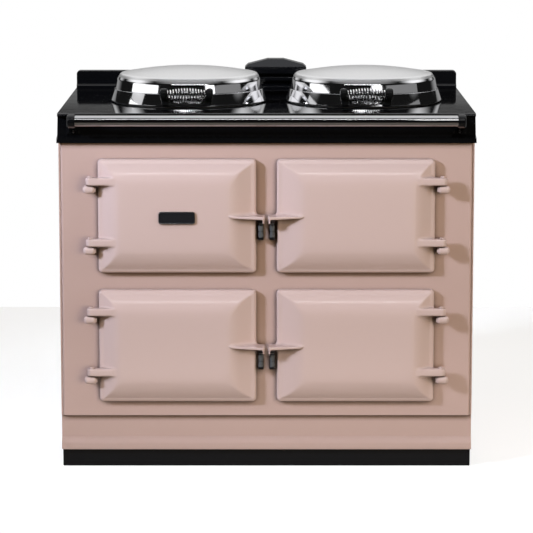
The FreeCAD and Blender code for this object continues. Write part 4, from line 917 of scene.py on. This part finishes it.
def make_handrail():
    bore = RAIL_RADIUS - RAIL_WALL
    profile = rounded_profile([
        (bore, -RAIL_END, 0.0), (RAIL_RADIUS, -RAIL_END, 0.6),
        (RAIL_RADIUS, RAIL_END, 0.6), (bore, RAIL_END, 0.0)])
    points, quads = turned(profile, 96)
    points = points[:, (2, 0, 1)] + np.array((0.0, RAIL_Y, RAIL_Z))
    add_mesh("handrail_tube", [(points, quads, 0)], [RAIL_CHROME], "cooker", ["handrail"])
    surface = surface_of(bracket_field, (434.0, -381.0, 796.0), (476.0, -294.0, 856.0), 1.2)
    for hand in ("left", "right"):
        bracket = mirror_x(*surface) if hand == "left" else surface
        add_piece("handrail_bracket_" + hand, bracket, FINISHES["black_enamel"], "cooker",
                  ["handrail_brackets"])


# The door hinges and catches

KNUCKLE_HEIGHT, SEAT = 19.0, 0.3
BARREL_IN, BARREL_OUT = 401.5, 431.5
PLATE_FACE = -312.0
PIN_RADIUS, PIN_HEAD, HEAD_HEIGHT = 4.0, 6.5, 3.0
LID_PIN_Y, LID_PIN_Z, LID_PIN_HALF, LID_PIN_RADIUS = 225.0, 866.0, 38.3, 5.0
AXIS = 0.01
ROLLER_X, ROLLER_Y = 13.5, -332.0
ROLLER_HIGH, ROLLER_BORE, BAND_ROUNDING = -16.0, 2.8, 0.6

# The height, radius and darkness of each band, from the top down. The dark bands are painted shade in the
# narrow necks.
ROLLER_BANDS = (
    (2.5, 5.0, 0), (3.2, 4.8, 1), (7.6, 6.0, 0), (6.0, 5.5, 0),
    (1.4, 4.9, 1), (4.6, 5.5, 0), (8.2, 6.0, 0), (2.5, 4.8, 1))


def knuckle_field(p):
    """A hinge knuckle on the right, its top at zero, on a neck that flares at the plate."""
    x, y, z = p
    middle = -KNUCKLE_HEIGHT / 2
    barrel = field_box(p, (BARREL_IN, HINGE_Y - LUG_RADIUS, -KNUCKLE_HEIGHT),
                       (BARREL_OUT, HINGE_Y + LUG_RADIUS, 0.0), 8.8)
    ring = np.hypot(np.hypot(y - HINGE_Y, z - middle) - 5.0, x - 401.8) - 1.1
    barrel = smooth_union(barrel, ring, 0.8)
    neck = np.hypot(x - HINGE_X, z - middle) - 8.0
    neck = np.maximum(neck, np.maximum(HINGE_Y - y, y - PLATE_FACE))
    collar = field_rod(p, 1, (HINGE_X, middle), 12.0, PLATE_FACE - 3.0, PLATE_FACE + 3.0, 1.4)
    body = smooth_union(smooth_union(barrel, neck, 4.0), collar, 5.0)
    body = round_cut(body, z, 1.6)
    body = np.maximum(body, y - PLATE_FACE)
    return np.maximum(body, -(np.hypot(x - HINGE_X, y - HINGE_Y) - PIN_HOLE))


def make_hinges():
    """The doors' eight knuckles in one piece, and the pins of all the hinges in another."""
    surface = surface_of(knuckle_field, (397.0, -356.0, -23.0), (436.0, -308.0, 3.0), 1.15)
    foot, top = -SEAT - KNUCKLE_HEIGHT, LUG_HEIGHT + SEAT
    pin_points, pin_quads = turned(rounded_profile([
        (AXIS, foot, 0.0), (PIN_RADIUS, foot, 0.6), (PIN_RADIUS, top - 0.01, 0.0), (PIN_HEAD, top, 0.0),
        (PIN_HEAD, top + HEAD_HEIGHT, 1.6), (AXIS, top + HEAD_HEIGHT, 0.0)]), 40)
    knuckles, pins = [], []
    for middle in ROWS.values():
        for side in (-1, 1):
            for bottom in LUG_BOTTOMS:
                knuckle = surface if side > 0 else mirror_x(*surface)
                points, quads, normals = moved(knuckle, (0.0, 0.0, middle + bottom - SEAT))
                knuckles.append((points, quads + len(knuckles) * len(points), normals))
                place = np.array((side * HINGE_X, HINGE_Y, middle + bottom))
                pins.append((pin_points + place, pin_quads, 0))
    whole = [np.concatenate(part) for part in zip(*knuckles)]
    add_piece("hinge_knuckles", whole, LIT_DOOR_ENAMEL, "cooker", ["hinge_brackets"])
    rear_points, rear_quads = turned(rounded_profile([
        (AXIS, -LID_PIN_HALF, 0.0), (LID_PIN_RADIUS, -LID_PIN_HALF, 0.8),
        (LID_PIN_RADIUS, LID_PIN_HALF, 0.8), (AXIS, LID_PIN_HALF, 0.0)]), 40)
    rear_points = rear_points[:, (2, 0, 1)]
    for x in LIDS.values():
        pins.append((rear_points + np.array((x, LID_PIN_Y, LID_PIN_Z)), rear_quads, 1))
    add_mesh("pins_of_hinges", pins, [LIT_DOOR_ENAMEL, FINISHES["steel"]], "cooker", ["hinge_pins"])


def make_rollers():
    """Each roller has bright collars between narrower necks, with painted shade in the necks."""
    bands = []
    high = ROLLER_HIGH
    for height, radius, dark in ROLLER_BANDS:
        low = high - height
        profile = rounded_profile([
            (ROLLER_BORE, low, 0.0), (radius, low, BAND_ROUNDING), (radius, high, BAND_ROUNDING),
            (ROLLER_BORE, high, 0.0)])
        bands.append((*turned(profile, 48), dark))
        high = low
    for row, middle in ROWS.items():
        for side, hand in ((-1, "left"), (1, "right")):
            place = "%s_%s_catch_roller" % (row, hand)
            shift = np.array((side * ROLLER_X, ROLLER_Y, middle))
            add_mesh(place + "_turned", [(points + shift, quads, dark) for points, quads, dark in bands],
                     [FINISHES["roller_steel"], NECK_SHADE_STEEL], place, [place])


# How wide each node's edges are broken
SOFTENED = {
    "plinth": 1.5, "front_plate": 1.2, "base_trim": 1.6, "top_plate": 1.8, "rear_upstand": 1.8,
    "vent_cowl": 1.5, "left_side_panel": 0.8, "right_side_panel": 0.8, "catch_brackets": 0.8,
    "badge_plate": 0.4, "lid_hinge_brackets": 1.2, "control_fascia": 0.8,
}
FOLD_DEPTH, FOLD_FACE, FOLD_BACK = 6.0, 0.4, 1.1
FOLD_CLEARANCE, FOLD_COVER, FOLD_END = 0.3, 1.9, 0.5


def make_softened():
    for node, width in SOFTENED.items():
        piece = softened(node, width)
        if node.endswith("side_panel"):
            piece.data.materials.clear()
            piece.data.materials.append(PANEL_ENAMEL)


def make_returns():
    """The folded front edges of the side panels, which close the slots beside the front plate."""
    plate_low, plate_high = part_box("front_plate")
    inner = plate_high.x / MM + FOLD_CLEARANCE
    for side, name in ((-1, "left_side_panel"), (1, "right_side_panel")):
        low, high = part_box(name)
        outer = max(abs(low.x), abs(high.x)) / MM - FOLD_COVER
        front = low.y / MM
        section = [
            (inner, front + FOLD_DEPTH), (inner, front + FOLD_BACK), (inner + 0.3, front + 0.6),
            (inner + 0.8, front + FOLD_FACE), (outer, front + FOLD_FACE), (outer, front + FOLD_DEPTH)]
        count = len(section)
        ends = (plate_low.z / MM + FOLD_END, high.z / MM - FOLD_END)
        points = [(side * x, y, z) for z in ends for x, y in section]
        faces = [(k, (k + 1) % count, count + (k + 1) % count, count + k) for k in range(count)]
        faces += [tuple(range(count)), tuple(range(2 * count - 1, count - 1, -1))]
        add_mesh(name + "_return", [(points, faces, 0)], [PANEL_ENAMEL], "cooker")


make_lids()
make_handrail()
make_hinges()
make_rollers()
make_softened()
make_returns()


# The studio

CAMERA_PLACE = Vector((0.0, -6.554, 1.489))
CAMERA_TILT = 9.12
CAMERA_LENS = 180.3
SENSOR = 36.0
FAR = 60.0
FLOOR_HALF = 1.9
UNDER_INSET, UNDER_FACE = 3 * MM, 4
PALE, PALE_LOW, PALE_HIGH = (0.62, 0.62, 0.62), (0.60, 0.60, 0.60), (0.64, 0.64, 0.64)
DIM = (0.24, 0.21, 0.18)
SEEN_WHITE = 0.76
MIRRORED_WHITE = 0.06
WHITE = (1.0, 1.0, 1.0, 1.0)
WARM = (1.0, 0.80, 0.58, 1.0)

# Where the parts of the world begin and are full, and how bright they are. A ray's direction has a length
# of one, so its y and its z run from -1 to 1.
ABOVE_Z, ABOVE_Y, ABOVE = (0.34, 0.52), (-0.25, 0.15), 1.15
CEILING_Z, CEILING = (0.70, 0.84), 0.32
WALL_Z, WALL_Y, WALL = (0.13, 0.26), (0.64, 0.90), 0.90
GLOW_Z, GLOW = (0.0960, 0.1008), 0.27
DARKEST, AROUND = 0.008, 0.13

# Name, place, aim, size, power and colour of each lamp, with a spread in degrees where it lights the
# object. Cards show in mirrors only.
MIDDLE, HOB = (0.0, -0.3, 0.5), (0.0, -0.1, 0.90)
PLAIN = (1.0, 1.0, 1.0)
OPEN = 180.0
LAMPS = (
    ("key", (-3.95, -3.15, 2.75), (-0.6, -0.3, 1.25), (0.8, 0.8), 17.8, (0.73, 0.82, 1.0), 36.0),
    ("fill", (2.2, -4.8, 0.85), (0.0, -0.3, 0.60), (3.6, 1.8), 26.0, (1.0, 0.88, 0.64), 80.0),
    ("bounce", (-0.1, -2.2, 0.03), (-0.05, -0.35, 0.09), (2.6, 0.25), 0.62, (0.93, 0.97, 1.0), 17.0),
    ("side", (2.9, -1.25, 1.0), (0.35, -0.36, 0.55), (0.9, 1.4), 4.0, (0.86, 0.90, 1.0), 70.0),
    ("top", (0.0, -0.9, 3.4), MIDDLE, (2.6, 1.2), 16.0, (0.94, 0.96, 1.0), OPEN),
)
CARDS = (
    ("card_left", (-1.60, -0.52, 1.17), (-0.19, -0.15, 0.88), (1.35, 0.31), 2.0, PLAIN),
    ("card_left_high", (-1.60, -0.20, 1.42), (-0.19, -0.15, 0.87), (0.58, 0.22), 0.28, PLAIN),
    ("card_narrow", (0.62, -1.22, 1.28), (-0.15, -0.15, 0.90), (0.36, 0.24), 0.5, PLAIN),
    ("card_right", (1.98, -0.99, 1.34), HOB, (2.1, 0.46), 0.7, PLAIN),
    ("card_top", (0.0, -0.7, 3.2), MIDDLE, (3.0, 0.45), 5.0, (0.92, 0.94, 1.0)),
    ("card_line", (0.0, -2.6, 2.85), (0.0, -0.35, 0.75), (3.2, 0.10), 12.0, PLAIN),
)


def make_camera():
    data = bpy.data.cameras.new("camera")
    data.lens = CAMERA_LENS
    data.sensor_width = SENSOR
    data.clip_end = FAR
    camera = new_object("camera", data)
    camera.location = CAMERA_PLACE
    camera.rotation_euler = (math.radians(90.0 - CAMERA_TILT), 0.0, 0.0)
    bpy.context.scene.camera = camera


def floor_pale():
    """White to the camera, and dim to mirrors and to bounced light."""
    m = Shader("floor_pale", PALE, roughness=0.8, Specular_IOR_Level=0.0, Emission_Color=WHITE)
    path = m.node("ShaderNodeLightPath").outputs
    m.mottle(path["Is Camera Ray"], DIM, m.mix(m.noise(2.0, 3.0), PALE_LOW, PALE_HIGH))
    mirrored = m.math("MAXIMUM", path["Is Glossy Ray"], path["Is Transmission Ray"])
    seen = m.math("MULTIPLY", path["Is Camera Ray"], SEEN_WHITE)
    m.drive("Emission Strength", m.math("MAXIMUM", seen, m.math("MULTIPLY", mirrored, MIRRORED_WHITE)))
    return m.material


def painted_shade_floor():
    """Painted shade: dark ground under the plinth."""
    m = Shader("painted_shade_floor", (0.03, 0.03, 0.03), roughness=0.9)
    m.mottle(m.noise(30.0, 3.0), (0.02, 0.02, 0.02), (0.04, 0.038, 0.036))
    return m.material


def make_floor():
    """A pale floor with painted shade inside the plinth, so that no light shows through the plinth's joint.
    """
    low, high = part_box("plinth")
    left, right = low.x + UNDER_INSET, high.x - UNDER_INSET
    front, back = low.y + UNDER_INSET, high.y - UNDER_INSET
    half = FLOOR_HALF
    corners = [(-half, -half, 0.0), (half, -half, 0.0), (half, half, 0.0), (-half, half, 0.0),
               (left, front, 0.0), (right, front, 0.0), (right, back, 0.0), (left, back, 0.0)]
    mesh = bpy.data.meshes.new("floor")
    mesh.from_pydata(corners, [], [(0, 1, 5, 4), (1, 2, 6, 5), (2, 3, 7, 6), (3, 0, 4, 7), (4, 5, 6, 7)])
    mesh.materials.append(floor_pale())
    mesh.materials.append(painted_shade_floor())
    # Painted shade on the floor inside the plinth
    mesh.polygons[UNDER_FACE].material_index = 1
    new_object("floor", mesh)


class Sky(Graph):
    """The nodes of the world: what a ray meets, by its kind and its direction."""

    def __init__(self):
        world = bpy.data.worlds.new("studio")
        bpy.context.scene.world = world
        world.use_nodes = True
        super().__init__(world.node_tree)
        self.tree.nodes.clear()
        way = self.node("ShaderNodeTexCoord").outputs["Generated"]
        split = self.node("ShaderNodeSeparateXYZ", {0: way})
        self.y, self.z = split.outputs["Y"], split.outputs["Z"]
        self.path = self.node("ShaderNodeLightPath").outputs

    def rise(self, value, limits, height=1.0):
        """A smooth step from zero to a height, between two values."""
        step = self.spread(value, *limits, interpolation="SMOOTHSTEP")
        return self.math("MULTIPLY", step, height)

    def light(self, color, strength):
        return self.node("ShaderNodeBackground", {"Color": color, "Strength": strength}).outputs[0]

    def choose(self, share, first, second):
        """The first light where the share is zero, and the second where it is one."""
        return self.node("ShaderNodeMixShader", {0: share, 1: first, 2: second}).outputs[0]


def make_world():
    """White behind the object for the camera, and for mirrors a dark studio with bright parts."""
    sky = Sky()
    above = sky.math("MULTIPLY", sky.rise(sky.z, ABOVE_Z), sky.rise(sky.y, ABOVE_Y, ABOVE))
    ceiling = sky.rise(sky.z, CEILING_Z, CEILING)
    glow = sky.math("SUBTRACT", GLOW, sky.rise(sky.z, GLOW_Z, GLOW))
    wall = sky.math("ADD", sky.rise(sky.z, WALL_Z, WALL), glow)
    low = sky.math("ADD", sky.math("MULTIPLY", sky.rise(sky.y, WALL_Y), wall), DARKEST)
    studio = sky.math("MAXIMUM", sky.math("MAXIMUM", above, ceiling), low)
    mirrored = sky.math("MAXIMUM", sky.path["Is Glossy Ray"], sky.path["Is Transmission Ray"])
    lit = sky.choose(mirrored, sky.light(WARM, AROUND), sky.light(WHITE, studio))
    whole = sky.choose(sky.path["Is Camera Ray"], lit, sky.light(WHITE, 1.0))
    sky.node("ShaderNodeOutputWorld", {"Surface": whole})


def add_lamp(name, place, aim, size, power, color, spread):
    data = bpy.data.lights.new(name, "AREA")
    data.shape = "RECTANGLE"
    data.size, data.size_y = size
    data.energy = power
    data.color = color
    data.spread = math.radians(spread)
    lamp = new_object(name, data)
    lamp.location = place
    lamp.rotation_euler = (Vector(aim) - Vector(place)).to_track_quat("-Z", "Y").to_euler()
    lamp.visible_camera = False
    return lamp


def make_lights():
    for lamp in LAMPS:
        add_lamp(*lamp).visible_glossy = False
    for card in CARDS:
        add_lamp(*card, OPEN).visible_diffuse = False


make_camera()
make_floor()
make_world()
make_lights()

bpy.context.scene.view_settings.view_transform = "Standard"
